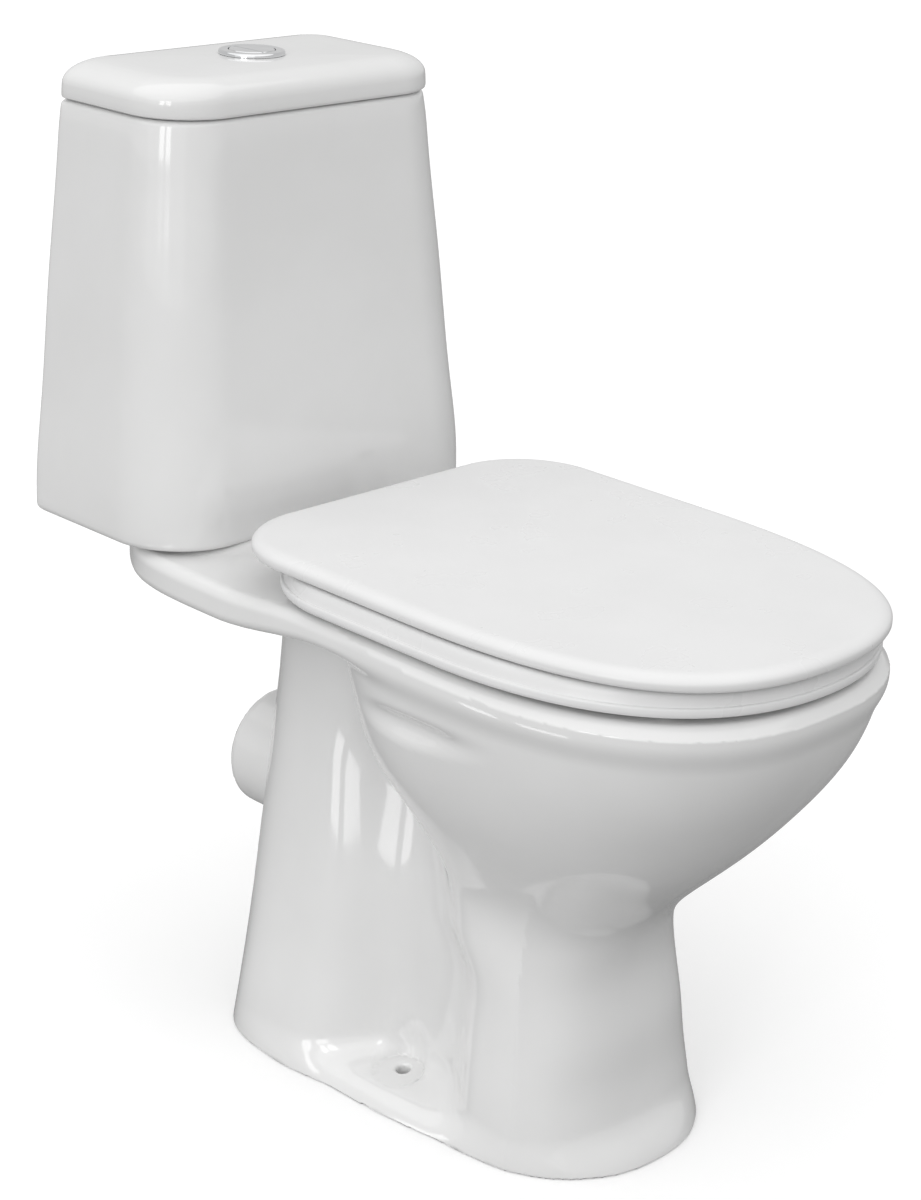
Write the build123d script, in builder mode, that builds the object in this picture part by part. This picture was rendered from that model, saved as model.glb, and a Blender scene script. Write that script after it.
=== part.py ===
"""Close coupled toilet: pan, cistern, dual flush valve, fill valve and hinged seat.

Millimetres, +Z up.  The floor is Z = 0, the toilet faces -Y and X = 0 is its plane of symmetry.
Depths are given as distances in front of the wall plane, which the cistern's back touches.
"""
import os

from build123d import *

os.makedirs("parts", exist_ok=True)

# ---------------------------------------------------------------- driving dimensions
depth = 665.0                    # wall plane to the front of the seat cover
wall_y = depth / 2               # Y of the wall plane
clear = 0.3                      # gap between pieces that only just touch

# pan
rim_z = 408.0                    # top of the deck
collar_z = 414.0                 # top of the rim, which stands a little higher
rim_thick = 28.0                 # height of the rim's and the deck's edge band
rim_half = 166.0
rim_widest = 438.0
rim_front = 660.0
deck_rear = 58.0
deck_half = 150.0
deck_corner = 55.0
wall_thick = 12.0                # fired ceramic wall
plinth_z = 409.5                 # raised pad that carries the cistern
base_half = 124.0
base_rear = 144.0
base_front = 551.0
base_widest = 274.0
outlet_z = 192.0
outlet_rear = 98.0
outlet_r = 51.0
outlet_bore_r = 43.0
outlet_root = 158.0              # where the spigot grows out of the pedestal
trap_bore_r = 38.0
floor_hole_x = 78.0
floor_hole_out = 345.0
floor_hole_r = 5.5
floor_boss_r = 16.0
foot_z = 22.0                    # top of the foot around a floor fixing hole

# cistern
tank_bottom_z = 411.0
tank_top_z = 733.0
tank_bottom_half = 172.0
tank_bottom_depth = 170.0
tank_bottom_corner = 64.0
tank_top_half = 141.0
tank_top_depth = 139.0
tank_top_corner = 50.0
back_cut = 0.02                  # skin taken off the cistern's back, which leaves a true plane
tank_wall = 10.0
tank_floor_z = tank_bottom_z + 14.0
lid_z = tank_top_z + 1.0
lid_top_z = 763.5
lid_wall = 8.0

# flushing
valve_out = 104.0                # centre of the flush valve and of the deck's inlet
tail_r = 26.0                    # the flush valve's threaded tail
tail_bore_r = 22.0
inlet_bore_r = 28.0              # passage down through the deck
gasket_seat_r = 38.0
gasket_seat_z = 392.0
bolt_x = 75.0                    # cistern fixing bolts, either side of the valve
bolt_r = 4.0
bolt_hole_r = 6.0
head_half = 26.0                 # the flush valve's head
head_z = 648.0
valve_lift = 24.0
button_out = 62.0
button_r = 18.0
button_split_x = -4.0            # line between the small and the large button
button_travel = 7.0
bezel_r = 26.0
bezel_bore_r = 18.6
lid_hole_r = 20.0
rod_out = 74.0
rod_x = 10.0
rod_r = 2.5
supply_z = 690.0                 # water supply, through the side of the cistern
supply_out = 60.0
supply_r = 10.4                  # half inch pipe thread
supply_bore_r = 5.0
supply_end_x = 167.3
supply_face_x = 143.3            # flat seats around the supply hole, outside and inside
supply_inner_x = 137.0
supply_seat_r = 17.0
shank_r = 10.8                   # the fill valve's tail where it passes through the cistern's wall
shank_end_x = supply_face_x + 8.0
thread_core_r = 9.8              # groove between the shank and the free thread
float_pin_x = 104.0
float_pin_z = 670.0
float_x = 66.0
float_out = 60.0
float_r = 25.0

# seat
ring_z = 419.5                   # underside of the ring
ring_top_z = 438.0
cover_z = 439.6                  # lower edge of the cover's skirt
cover_top_z = 453.5
cover_half = 167.0
cover_widest = 420.0
cover_front = depth
cover_rear = 215.0
cover_corner = 72.0
cover_shell = 4.0
hinge_x = 77.5                   # half the spacing of the seat fixing holes
hinge_out = 228.0
hinge_z = 435.0
pin_r = 3.0
pin_gap = 0.05
seat_hole_r = 6.0


# ---------------------------------------------------------------- shared shapes
def out(distance):
    """Y of a point this far in front of the wall plane."""
    return wall_y - distance


def level(z):
    return Plane.XY.offset(z)


def oval(z, half, rear, widest, front, rear_full=0.56, front_full=0.66):
    """An egg-shaped section, symmetric about X = 0.  Fullness 0.55 is an ellipse, 0.9 nearly square."""
    rear_length = widest - rear
    front_length = front - widest
    with BuildSketch(level(z), mode=Mode.PRIVATE) as section:
        with BuildLine():
            Bezier(
                (0, out(rear)),
                (-half * rear_full, out(rear)),
                (-half, out(widest - rear_full * rear_length)),
                (-half, out(widest)),
            )
            Bezier(
                (-half, out(widest)),
                (-half, out(widest + front_full * front_length)),
                (-half * front_full, out(front)),
                (0, out(front)),
            )
            mirror(about=Plane.YZ)
        make_face()
    return section.sketch


def seat_outline(z, half, rear, corner, widest, front, front_full=0.7):
    """Flat back with round corners, straight sides and a full round front."""
    front_length = front - widest
    with BuildSketch(level(z), mode=Mode.PRIVATE) as outline:
        with BuildLine():
            Line((0, out(rear)), (-half + corner, out(rear)))
            RadiusArc((-half + corner, out(rear)), (-half, out(rear + corner)), -corner)
            Line((-half, out(rear + corner)), (-half, out(widest)))
            Bezier(
                (-half, out(widest)),
                (-half, out(widest + front_full * front_length)),
                (-half * front_full, out(front)),
                (0, out(front)),
            )
            mirror(about=Plane.YZ)
        make_face()
    return outline.sketch


def tank_outline(z, half, front, corner, rear=0.0, rear_corner=8.0):
    """Cistern plan: square at the wall, well rounded at the front."""
    with BuildSketch(level(z), mode=Mode.PRIVATE) as outline:
        with BuildLine():
            Line((0, out(rear)), (-half + rear_corner, out(rear)))
            RadiusArc((-half + rear_corner, out(rear)), (-half, out(rear + rear_corner)), -rear_corner)
            Line((-half, out(rear + rear_corner)), (-half, out(front - corner)))
            RadiusArc((-half, out(front - corner)), (-half + corner, out(front)), -corner)
            Line((-half + corner, out(front)), (0, out(front)))
            mirror(about=Plane.YZ)
        make_face()
    return outline.sketch


def rod(r, z_low, z_high, x=0.0, distance=0.0):
    """An upright round bar."""
    with BuildPart(mode=Mode.PRIVATE) as bar:
        with BuildSketch(level(z_low)):
            with Locations((x, out(distance))):
                Circle(r)
        extrude(amount=z_high - z_low)
    return bar.part


def tube(r, bore, z_low, z_high, x=0.0, distance=0.0):
    """An upright round tube."""
    with BuildPart(mode=Mode.PRIVATE) as pipe:
        with BuildSketch(level(z_low)):
            with Locations((x, out(distance))):
                Circle(r)
                Circle(bore, mode=Mode.SUBTRACT)
        extrude(amount=z_high - z_low)
    return pipe.part


def bar_x(r, x_low, x_high, distance, z):
    """A round bar along X."""
    with BuildPart(mode=Mode.PRIVATE) as bar:
        with BuildSketch(Plane(origin=(x_low, out(distance), z), x_dir=(0, 1, 0), z_dir=(1, 0, 0))):
            Circle(r)
        extrude(amount=x_high - x_low)
    return bar.part


def block(x_low, x_high, near, far, z_low, z_high):
    """An upright box; near and far are distances in front of the wall."""
    with BuildPart(mode=Mode.PRIVATE) as solid:
        with BuildSketch(level(z_low)):
            with Locations(((x_low + x_high) / 2, out((near + far) / 2))):
                Rectangle(x_high - x_low, far - near)
        extrude(amount=z_high - z_low)
    return solid.part


def hexagon_nut(across, bore, z_low, z_high, x=0.0, distance=0.0):
    with BuildPart(mode=Mode.PRIVATE) as nut:
        with BuildSketch(level(z_low)):
            with Locations((x, out(distance))):
                RegularPolygon(across / 2, 6, major_radius=False)
                Circle(bore, mode=Mode.SUBTRACT)
        extrude(amount=z_high - z_low)
    return nut.part


def wing_nut(bore, reach, z_top, x, distance):
    """A hub under z_top, open through the middle, with two flat wings that hang a little lower."""
    hub_r = bore + 4.5
    wing_half = 1.5
    with BuildPart(mode=Mode.PRIVATE) as nut:
        add(rod(hub_r, z_top - 10, z_top, x, distance))
        add(block(x - reach, x + reach, distance - wing_half, distance + wing_half, z_top - 13, z_top - 3))
        add(rod(bore, z_top - 14, z_top + 1, x, distance), mode=Mode.SUBTRACT)
    return nut.part


# ---------------------------------------------------------------- pan
# bowl sections: height, half width, rear, widest, front
bowl_sections = (
    (88, 50, 335, 385, 440),
    (150, 68, 325, 402, 492),
    (200, 90, 312, 414, 524),
    (250, 117, 296, 426, 574),
    (300, 141, 272, 434, 616),
    (350, 158, 250, 438, 646),
    (394, 164, 240, 438, 657),
)
hollow_sections = (
    (104, 36, 350, 386, 424),
    (150, 53, 338, 400, 466),
    (200, 76, 322, 408, 504),
    (250, 101, 302, 420, 554),
    (300, 124, 284, 428, 595),
    (350, 137, 268, 432, 622),
    (collar_z + 1, 128, 268, 432, 608),
)
pedestal_sections = (
    (0, base_half, base_rear, base_widest, base_front),
    (30, 119, 148, 282, 541),
    (90, 104, 154, 300, 533),
    (165, 93, 162, 310, 513),
    (260, 87, 172, 310, 504),
    (388, 84, 180, 300, 480),
)
pedestal_full = (0.84, 0.72)     # squareness at the back and at the front
scoop_r = 80.0                   # the hollows in the pedestal's sides
scoop_x = 152.0
scoop_out = 345.0
scoop_top_z = 352.0
scoop_end_r = 46.0
trap_bend_r = 58.0
trap_wall = 9.0
channel_half = 44.0              # box under the deck that carries the flush to the bowl
channel_z = 338.0
channel_bore_r = 15.0
pocket_r = 17.0                  # room for the seat's wing nuts under the deck
edge = 9.0                       # rounding of the deck's and the rim's edge


def rim_band(z, inset):
    """Deck and rim in one outline: nearly straight sides from the deck to the round front."""
    rear = deck_rear + inset
    side_start = rear + deck_corner
    half_rear = deck_half - inset
    half_front = rim_half - inset
    front = rim_front - inset
    front_length = front - rim_widest
    with BuildSketch(level(z), mode=Mode.PRIVATE) as outline:
        with BuildLine():
            Line((0, out(rear)), (-half_rear + deck_corner, out(rear)))
            RadiusArc((-half_rear + deck_corner, out(rear)), (-half_rear, out(side_start)), -deck_corner)
            Bezier(
                (-half_rear, out(side_start)),
                (-half_rear, out(side_start + 60)),
                (-half_front, out(rim_widest - 190)),
                (-half_front, out(rim_widest)),
            )
            Bezier(
                (-half_front, out(rim_widest)),
                (-half_front, out(rim_widest + 0.68 * front_length)),
                (-half_front * 0.68, out(front)),
                (0, out(front)),
            )
            mirror(about=Plane.YZ)
        make_face()
    return outline.sketch


def trap_tube(r):
    """The trap's round passage: from the bowl's sump, up over the weir and back to the outlet."""
    start = (0, out(385), 118)
    foot = (0, out(322), 118)
    weir = (0, out(262), 218)
    heel = (0, out(188), outlet_z)
    end = (0, out(outlet_rear + 20), outlet_z)
    with BuildPart(mode=Mode.PRIVATE) as passage:
        with BuildLine(mode=Mode.PRIVATE) as route:
            FilletPolyline(start, foot, weir, heel, end, radius=trap_bend_r)
        with BuildSketch(Plane(origin=start, z_dir=(0, 1, 0))):
            Circle(r)
        sweep(path=route.line)
    return passage.part


def scoops(margin):
    """The two tall hollows in the sides of the pedestal, above the foot."""
    with BuildPart(mode=Mode.PRIVATE) as pair:
        with BuildSketch(level(foot_z - margin)):
            with Locations((-scoop_x, out(scoop_out)), (scoop_x, out(scoop_out))):
                Circle(scoop_r + margin)
        extrude(amount=scoop_top_z - foot_z + 2 * margin)
        fillet(pair.edges().filter_by(GeomType.CIRCLE), radius=scoop_end_r)
    return pair.part


def bar_y(r, near, far, x, z):
    """A round bar along Y; near and far are distances in front of the wall."""
    with BuildPart(mode=Mode.PRIVATE) as bar:
        with BuildSketch(Plane(origin=(x, out(far), z), z_dir=(0, 1, 0))):
            Circle(r)
        extrude(amount=far - near)
    return bar.part


with BuildPart() as bowl_solid:
    loft(sections=[oval(*section) for section in bowl_sections])

with BuildPart() as bowl_hollow:
    loft(sections=[oval(*section) for section in hollow_sections])

with BuildPart() as pedestal:
    loft(sections=[oval(*section, *pedestal_full) for section in pedestal_sections])

with BuildPart() as pedestal_hollow:
    loft(sections=[
        oval(z, half - wall_thick, rear + wall_thick, widest, front - wall_thick, *pedestal_full)
        for z, half, rear, widest, front in pedestal_sections[:-1]
    ])

with BuildPart() as deck:
    loft(
        sections=[
            rim_band(rim_z - rim_thick, edge),
            rim_band(rim_z - rim_thick + edge, 0),
            rim_band(rim_z - edge, 0),
            rim_band(rim_z, edge),
        ],
        ruled=True,
    )

with BuildPart() as rim_collar:
    loft(sections=[
        oval(rim_z - 3, rim_half - 4, 242, rim_widest, rim_front - 4),
        oval(collar_z - 3, rim_half - 4, 242, rim_widest, rim_front - 4),
        oval(collar_z, rim_half - 8, 246, rim_widest, rim_front - 8),
    ], ruled=True)

with BuildPart() as plinth:
    add(tank_outline(rim_z, 128, 166, 46, deck_rear + edge + 3, 40))
    extrude(amount=plinth_z - rim_z, taper=30)

side_scoops = scoops(0)
scoop_walls = scoops(wall_thick)
trap_outer = trap_tube(trap_bore_r + trap_wall)
trap_bore = trap_tube(trap_bore_r)
spigot = bar_y(outlet_r, outlet_rear, outlet_root, 0, outlet_z)
spigot_root = bar_y(outlet_r + 1, outlet_root, 190, 0, outlet_z)
spigot_bore = bar_y(outlet_bore_r, outlet_rear - 1, outlet_root, 0, outlet_z)
channel = block(-channel_half, channel_half, deck_rear + 12, 300, channel_z, rim_z - rim_thick + 1)
channel_bore = bar_y(channel_bore_r, valve_out, 300, 0, channel_z + 20)

with BuildPart() as core:
    add(pedestal_hollow.part)
    add(scoop_walls, mode=Mode.SUBTRACT)
    add(bowl_solid.part, mode=Mode.SUBTRACT)
    add(trap_outer, mode=Mode.SUBTRACT)
    for side in (-1, 1):
        add(rod(floor_boss_r, -1, foot_z, side * floor_hole_x, floor_hole_out), mode=Mode.SUBTRACT)

with BuildPart() as pan:
    add(pedestal.part)
    add(side_scoops, mode=Mode.SUBTRACT)
    for side in (-1, 1):
        add(rod(pocket_r, 335, rim_z - rim_thick, side * (hinge_x + 4), hinge_out), mode=Mode.SUBTRACT)
    add(channel)
    add(bowl_solid.part)
    add(deck.part)
    add(rim_collar.part)
    add(plinth.part)
    add(core.part, mode=Mode.SUBTRACT)
    add(spigot)
    add(spigot_root)
    add(bowl_hollow.part, mode=Mode.SUBTRACT)
    add(trap_bore, mode=Mode.SUBTRACT)
    add(spigot_bore, mode=Mode.SUBTRACT)
    add(channel_bore, mode=Mode.SUBTRACT)
    add(rod(inlet_bore_r, channel_z + 8, rim_z, 0, valve_out), mode=Mode.SUBTRACT)
    add(rod(gasket_seat_r, gasket_seat_z, plinth_z + 1, 0, valve_out), mode=Mode.SUBTRACT)
    for side in (-1, 1):
        add(rod(bolt_hole_r, 360, plinth_z + 1, side * bolt_x, valve_out), mode=Mode.SUBTRACT)
        add(rod(seat_hole_r, 360, rim_z + 1, side * hinge_x, hinge_out), mode=Mode.SUBTRACT)
        add(rod(floor_hole_r, -1, foot_z + 40, side * floor_hole_x, floor_hole_out), mode=Mode.SUBTRACT)
pan.part.label = "pan"
export_step(pan.part, "parts/pan.step")

# ---------------------------------------------------------------- cistern body
def tank_section(z, inset=0.0):
    """Plan of the cistern at a height, between its wide bottom and its narrow top."""
    share = (z - tank_bottom_z) / (tank_top_z - tank_bottom_z)
    half = tank_bottom_half + share * (tank_top_half - tank_bottom_half) - inset
    front = tank_bottom_depth + share * (tank_top_depth - tank_bottom_depth) - inset
    corner = tank_bottom_corner + share * (tank_top_corner - tank_bottom_corner) - inset
    rear = inset if inset else -back_cut
    return tank_outline(z, half, front, corner, rear, 14.0 if inset else 8.0)


with BuildPart() as tank_hollow:
    loft(sections=[tank_section(tank_floor_z, tank_wall), tank_section(tank_top_z + 1, tank_wall)])
    fillet(tank_hollow.faces().sort_by(Axis.Z)[0].edges(), radius=8)

with BuildPart() as cistern_body:
    loft(sections=[tank_section(tank_bottom_z), tank_section(tank_top_z)])
    fillet(cistern_body.faces().sort_by(Axis.Z)[0].edges(), radius=5)
    fillet(cistern_body.faces().sort_by(Axis.Z)[-1].edges(), radius=3)
    add(block(-tank_bottom_half, tank_bottom_half, -1, 0, tank_bottom_z, tank_top_z), mode=Mode.SUBTRACT)
    add(tank_hollow.part, mode=Mode.SUBTRACT)
    add(rod(tail_r + 1, tank_bottom_z - 1, tank_floor_z + 1, 0, valve_out), mode=Mode.SUBTRACT)
    for side in (-1, 1):
        bolt_hole = rod(bolt_hole_r, tank_bottom_z - 1, tank_floor_z + 1, side * bolt_x, valve_out)
        add(bolt_hole, mode=Mode.SUBTRACT)
    add(bar_x(shank_r + 0.6, 120, 170, supply_out, supply_z), mode=Mode.SUBTRACT)
    add(bar_x(supply_seat_r, supply_face_x, 170, supply_out, supply_z), mode=Mode.SUBTRACT)
    add(bar_x(supply_seat_r, 120, supply_inner_x, supply_out, supply_z), mode=Mode.SUBTRACT)
cistern_body.part.label = "cistern_body"
export_step(cistern_body.part, "parts/cistern_body.step")

# ---------------------------------------------------------------- cistern lid
lid_half = tank_top_half + 1.5
lid_front = tank_top_depth + 1.5
lid_corner = tank_top_corner + 1.5
lid_lean = 5.0                   # how far the lid's sides lean in by its top
lip_gap = 1.5                    # between the lid's locating lip and the cistern's inner wall
lip_drop = 7.0
lip_thick = 4.0

lip_half = tank_top_half - tank_wall - lip_gap
lip_front = tank_top_depth - tank_wall - lip_gap
lip_rear = tank_wall + lip_gap

with BuildPart() as lid_hollow:
    loft(
        sections=[
            tank_outline(lid_z - 1, lip_half - lip_thick, lip_front - lip_thick, 36,
                         lip_rear + lip_thick, 10),
            tank_outline(lid_top_z - lid_wall, lip_half - 8, lip_front - 8, 34, lip_rear + 6, 10),
        ]
    )
    fillet(lid_hollow.faces().sort_by(Axis.Z)[-1].edges(), radius=6)

with BuildPart() as cistern_lid:
    loft(
        sections=[
            tank_outline(lid_z, lid_half, lid_front, lid_corner, 0.5, 10),
            tank_outline(lid_top_z, lid_half - lid_lean, lid_front - lid_lean, lid_corner, 1.5, 14),
        ]
    )
    fillet(cistern_lid.faces().sort_by(Axis.Z)[-1].edges(), radius=12)
    with BuildSketch(level(lid_z - lip_drop)):
        add(tank_outline(lid_z - lip_drop, lip_half, lip_front, 40, lip_rear, 14))
    extrude(amount=lip_drop + 1)
    with BuildSketch(level(lid_z - lip_drop - 1)):
        add(tank_outline(lid_z - lip_drop - 1, lip_half - lip_thick, lip_front - lip_thick, 36,
                         lip_rear + lip_thick, 10))
    extrude(amount=lip_drop + 2, mode=Mode.SUBTRACT)
    add(lid_hollow.part, mode=Mode.SUBTRACT)
    add(rod(lid_hole_r, lid_z, lid_top_z + 1, 0, button_out), mode=Mode.SUBTRACT)
cistern_lid.part.label = "cistern_lid"
export_step(cistern_lid.part, "parts/cistern_lid.step")

# ---------------------------------------------------------------- fixings between cistern and pan
pad_x = 112.0
pad_half = 9.0

with BuildPart() as cistern_pads:
    for side in (-1, 1):
        add(block(side * pad_x - pad_half, side * pad_x + pad_half, 92, 138, plinth_z, tank_bottom_z))
    fillet(cistern_pads.edges().filter_by(Axis.Z), radius=5)
cistern_pads.part.label = "cistern_pads"
export_step(cistern_pads.part, "parts/cistern_pads.step")

backnut_z = tank_bottom_z - 8
with BuildPart() as coupling_gasket:
    add(tube(gasket_seat_r - 1, tail_r + 1.5, gasket_seat_z, backnut_z, 0, valve_out))
    fillet(coupling_gasket.edges(), radius=2.5)
coupling_gasket.part.label = "coupling_gasket"
export_step(coupling_gasket.part, "parts/coupling_gasket.step")

cone_z = tank_floor_z
bolt_head_z = cone_z + 8
bolt_end_z = 357.0
bolt_washer_thick = 2.0
under_deck_z = rim_z - rim_thick
slot_half = 1.0

with BuildPart() as cistern_bolts:
    for side in (-1, 1):
        add(rod(bolt_r, bolt_end_z, bolt_head_z, side * bolt_x, valve_out))
        add(rod(9, bolt_head_z, bolt_head_z + 5, side * bolt_x, valve_out))
        slot = block(side * bolt_x - 10, side * bolt_x + 10, valve_out - slot_half, valve_out + slot_half,
                     bolt_head_z + 3, bolt_head_z + 6)
        add(slot, mode=Mode.SUBTRACT)
cistern_bolts.part.label = "cistern_bolts"
export_step(cistern_bolts.part, "parts/cistern_bolts.step")

with BuildPart() as bolt_cone_washers:
    for side in (-1, 1):
        with BuildSketch(level(cone_z)):
            with Locations((side * bolt_x, out(valve_out))):
                Circle(9)
        extrude(amount=bolt_head_z - cone_z, taper=-22)
        add(rod(bolt_r, cone_z - 1, bolt_head_z + 1, side * bolt_x, valve_out), mode=Mode.SUBTRACT)
bolt_cone_washers.part.label = "bolt_cone_washers"
export_step(bolt_cone_washers.part, "parts/bolt_cone_washers.step")

with BuildPart() as bolt_washers:
    for side in (-1, 1):
        add(tube(11, bolt_r, under_deck_z - bolt_washer_thick, under_deck_z, side * bolt_x, valve_out))
bolt_washers.part.label = "bolt_washers"
export_step(bolt_washers.part, "parts/bolt_washers.step")

with BuildPart() as bolt_wing_nuts:
    for side in (-1, 1):
        add(wing_nut(bolt_r, 17.5, under_deck_z - bolt_washer_thick, side * bolt_x, valve_out))
bolt_wing_nuts.part.label = "bolt_wing_nuts"
export_step(bolt_wing_nuts.part, "parts/bolt_wing_nuts.step")

# ---------------------------------------------------------------- flush valve
flange_r = 36.0
flange_z = tank_floor_z + 3
flange_top_z = flange_z + 5
seat_lip = 3.0
seat_z = flange_top_z + seat_lip
cage_r = 31.0
cage_wall = 2.5
cage_top_z = 530.0
stem_r = 18.0
overflow_r = 12.0
overflow_top_z = 620.0
window_half = 15.0

with BuildPart() as flush_valve_base:
    add(rod(flange_r, flange_z, flange_top_z, 0, valve_out))
    add(rod(tail_r, gasket_seat_z + 2, flange_z, 0, valve_out))
    add(rod(tail_bore_r + 2, flange_top_z, seat_z, 0, valve_out))
    add(rod(tail_bore_r, gasket_seat_z, seat_z + 1, 0, valve_out), mode=Mode.SUBTRACT)
flush_valve_base.part.label = "flush_valve_base"
export_step(flush_valve_base.part, "parts/flush_valve_base.step")

with BuildPart() as flush_valve_washer:
    add(tube(flange_r - 1, tail_r, tank_floor_z, flange_z, 0, valve_out))
flush_valve_washer.part.label = "flush_valve_washer"
export_step(flush_valve_washer.part, "parts/flush_valve_washer.step")

with BuildPart() as flush_valve_nut:
    add(hexagon_nut(62, tail_r, backnut_z, tank_bottom_z, 0, valve_out))
flush_valve_nut.part.label = "flush_valve_nut"
export_step(flush_valve_nut.part, "parts/flush_valve_nut.step")

with BuildPart() as flush_valve_cage:
    add(tube(cage_r, cage_r - cage_wall, flange_top_z, cage_top_z, 0, valve_out))
    window_low = seat_z + 4
    window_high = cage_top_z - 14
    windows_x = block(-cage_r - 1, cage_r + 1, valve_out - window_half, valve_out + window_half,
                      window_low, window_high)
    windows_y = block(-window_half, window_half, valve_out - cage_r - 1, valve_out + cage_r + 1,
                      window_low, window_high)
    add(windows_x, mode=Mode.SUBTRACT)
    add(windows_y, mode=Mode.SUBTRACT)
    add(tube(cage_r, overflow_r + 0.8, cage_top_z, cage_top_z + 4, 0, valve_out))
    add(tube(stem_r, stem_r - cage_wall, cage_top_z + 4, head_z, 0, valve_out))
    add(block(-head_half, head_half, rod_out - 9, valve_out + 22, head_z, head_z + 10))
    for side in (-1, 1):
        add(rod(rod_r + 0.8, head_z - 1, head_z + 11, side * rod_x, rod_out), mode=Mode.SUBTRACT)
flush_valve_cage.part.label = "flush_valve_cage"
export_step(flush_valve_cage.part, "parts/flush_valve_cage.step")

with BuildPart() as overflow_tube:
    add(tube(overflow_r, overflow_r - 2, seat_z + clear, overflow_top_z, 0, valve_out))
    add(tube(overflow_r + 6, overflow_r, seat_z + 4 + clear, seat_z + 7 + clear, 0, valve_out))
overflow_tube.part.label = "overflow_tube"
export_step(overflow_tube.part, "parts/overflow_tube.step")

with BuildPart() as valve_seal:
    add(tube(tail_bore_r + 3, overflow_r, seat_z + clear, seat_z + clear + 4, 0, valve_out))
valve_seal.part.label = "valve_seal"
export_step(valve_seal.part, "parts/valve_seal.step")

# ---------------------------------------------------------------- push buttons
bezel_top_z = lid_top_z + 3
button_top_z = bezel_top_z + 0.5
button_skirt_z = button_top_z - 12
nut_top_z = lid_top_z - lid_wall
sleeve_r = 19.5

with BuildPart() as button_bezel:
    add(rod(bezel_r, lid_top_z, bezel_top_z, 0, button_out))
    fillet(button_bezel.faces().sort_by(Axis.Z)[-1].edges(), radius=2)
    add(rod(sleeve_r, nut_top_z - 14, lid_top_z, 0, button_out))
    add(rod(bezel_bore_r, nut_top_z - 15, bezel_top_z + 1, 0, button_out), mode=Mode.SUBTRACT)
button_bezel.part.label = "button_bezel"
export_step(button_bezel.part, "parts/button_bezel.step")

with BuildPart() as bezel_nut:
    add(hexagon_nut(50, sleeve_r, nut_top_z - 8, nut_top_z, 0, button_out))
bezel_nut.part.label = "bezel_nut"
export_step(bezel_nut.part, "parts/bezel_nut.step")

button_gap = 0.4
large_part = block(button_split_x + button_gap, button_r + 1, button_out - button_r - 1,
                   button_out + button_r + 1, button_skirt_z - 1, button_top_z + 1)
small_part = block(-button_r - 1, button_split_x - button_gap, button_out - button_r - 1,
                   button_out + button_r + 1, button_skirt_z - 1, button_top_z + 1)

with BuildPart() as full_flush_button:
    add(rod(button_r, button_skirt_z, button_top_z, 0, button_out))
    add(large_part, mode=Mode.INTERSECT)
    fillet(full_flush_button.faces().sort_by(Axis.Z)[-1].edges(), radius=1.2)
full_flush_button.part.label = "full_flush_button"
export_step(full_flush_button.part, "parts/full_flush_button.step")

with BuildPart() as half_flush_button:
    add(rod(button_r, button_skirt_z, button_top_z, 0, button_out))
    add(small_part, mode=Mode.INTERSECT)
    fillet(half_flush_button.faces().sort_by(Axis.Z)[-1].edges(), radius=1.2)
half_flush_button.part.label = "half_flush_button"
export_step(half_flush_button.part, "parts/half_flush_button.step")

rod_low_z = head_z + 5
with BuildPart() as full_flush_rod:
    add(rod(rod_r, rod_low_z, button_skirt_z, rod_x, rod_out))
full_flush_rod.part.label = "full_flush_rod"
export_step(full_flush_rod.part, "parts/full_flush_rod.step")

with BuildPart() as half_flush_rod:
    add(rod(rod_r, rod_low_z, button_skirt_z, -rod_x, rod_out))
half_flush_rod.part.label = "half_flush_rod"
export_step(half_flush_rod.part, "parts/half_flush_rod.step")

# ---------------------------------------------------------------- fill valve with its float
body_x = 98.0
body_half = 9.0
washer_thick = 3.0
flange_x = supply_inner_x - washer_thick
nut_x = supply_face_x + 2.0      # outer face of the thin washer under the nut
spout_r = 5.0
spout_x = 116.0
clevis_gap = 4.0
pin_reach = clevis_gap + 6
arm_half = 3.5
float_low_z = 612.0
float_high_z = 652.0
float_pin_r = 2.0
arm_drop = 8.0                   # how far the float's end of the arm hangs below its pin
eye_r = 4.5

with BuildPart() as fill_valve_body:
    add(block(body_x, 124, supply_out - 13, supply_out + 13, supply_z - 13, supply_z + 13))
    fillet(fill_valve_body.edges().filter_by(Axis.X), radius=4)
    add(bar_x(shank_r, 118, shank_end_x, supply_out, supply_z))
    add(bar_x(thread_core_r, shank_end_x, shank_end_x + 1, supply_out, supply_z))
    add(bar_x(supply_r, shank_end_x + 1, supply_end_x, supply_out, supply_z))
    add(bar_x(supply_seat_r - 1, flange_x - 3, flange_x, supply_out, supply_z))
    for side in (-1, 1):
        ear = supply_out + side * (clevis_gap + 2)
        add(block(float_pin_x - 5, float_pin_x + 5, ear - 2, ear + 2, float_pin_z - 5, supply_z - 12))
    add(bar_x(supply_bore_r, 108, supply_end_x + 1, supply_out, supply_z), mode=Mode.SUBTRACT)
    add(rod(spout_r, supply_z - 14, supply_z, spout_x, supply_out), mode=Mode.SUBTRACT)
    add(bar_y(float_pin_r, supply_out - 12, supply_out + 12, float_pin_x, float_pin_z), mode=Mode.SUBTRACT)
fill_valve_body.part.label = "fill_valve_body"
export_step(fill_valve_body.part, "parts/fill_valve_body.step")

with BuildPart() as fill_valve_spout:
    add(tube(spout_r, spout_r - 1.2, tank_floor_z + 30, supply_z - 2, spout_x, supply_out))
fill_valve_spout.part.label = "fill_valve_spout"
export_step(fill_valve_spout.part, "parts/fill_valve_spout.step")

with BuildPart() as fill_valve_washers:
    add(bar_x(supply_seat_r - 1, flange_x, supply_inner_x, supply_out, supply_z))
    add(bar_x(supply_seat_r - 1, supply_face_x, nut_x, supply_out, supply_z))
    add(bar_x(shank_r, 120, 170, supply_out, supply_z), mode=Mode.SUBTRACT)
fill_valve_washers.part.label = "fill_valve_washers"
export_step(fill_valve_washers.part, "parts/fill_valve_washers.step")

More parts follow.
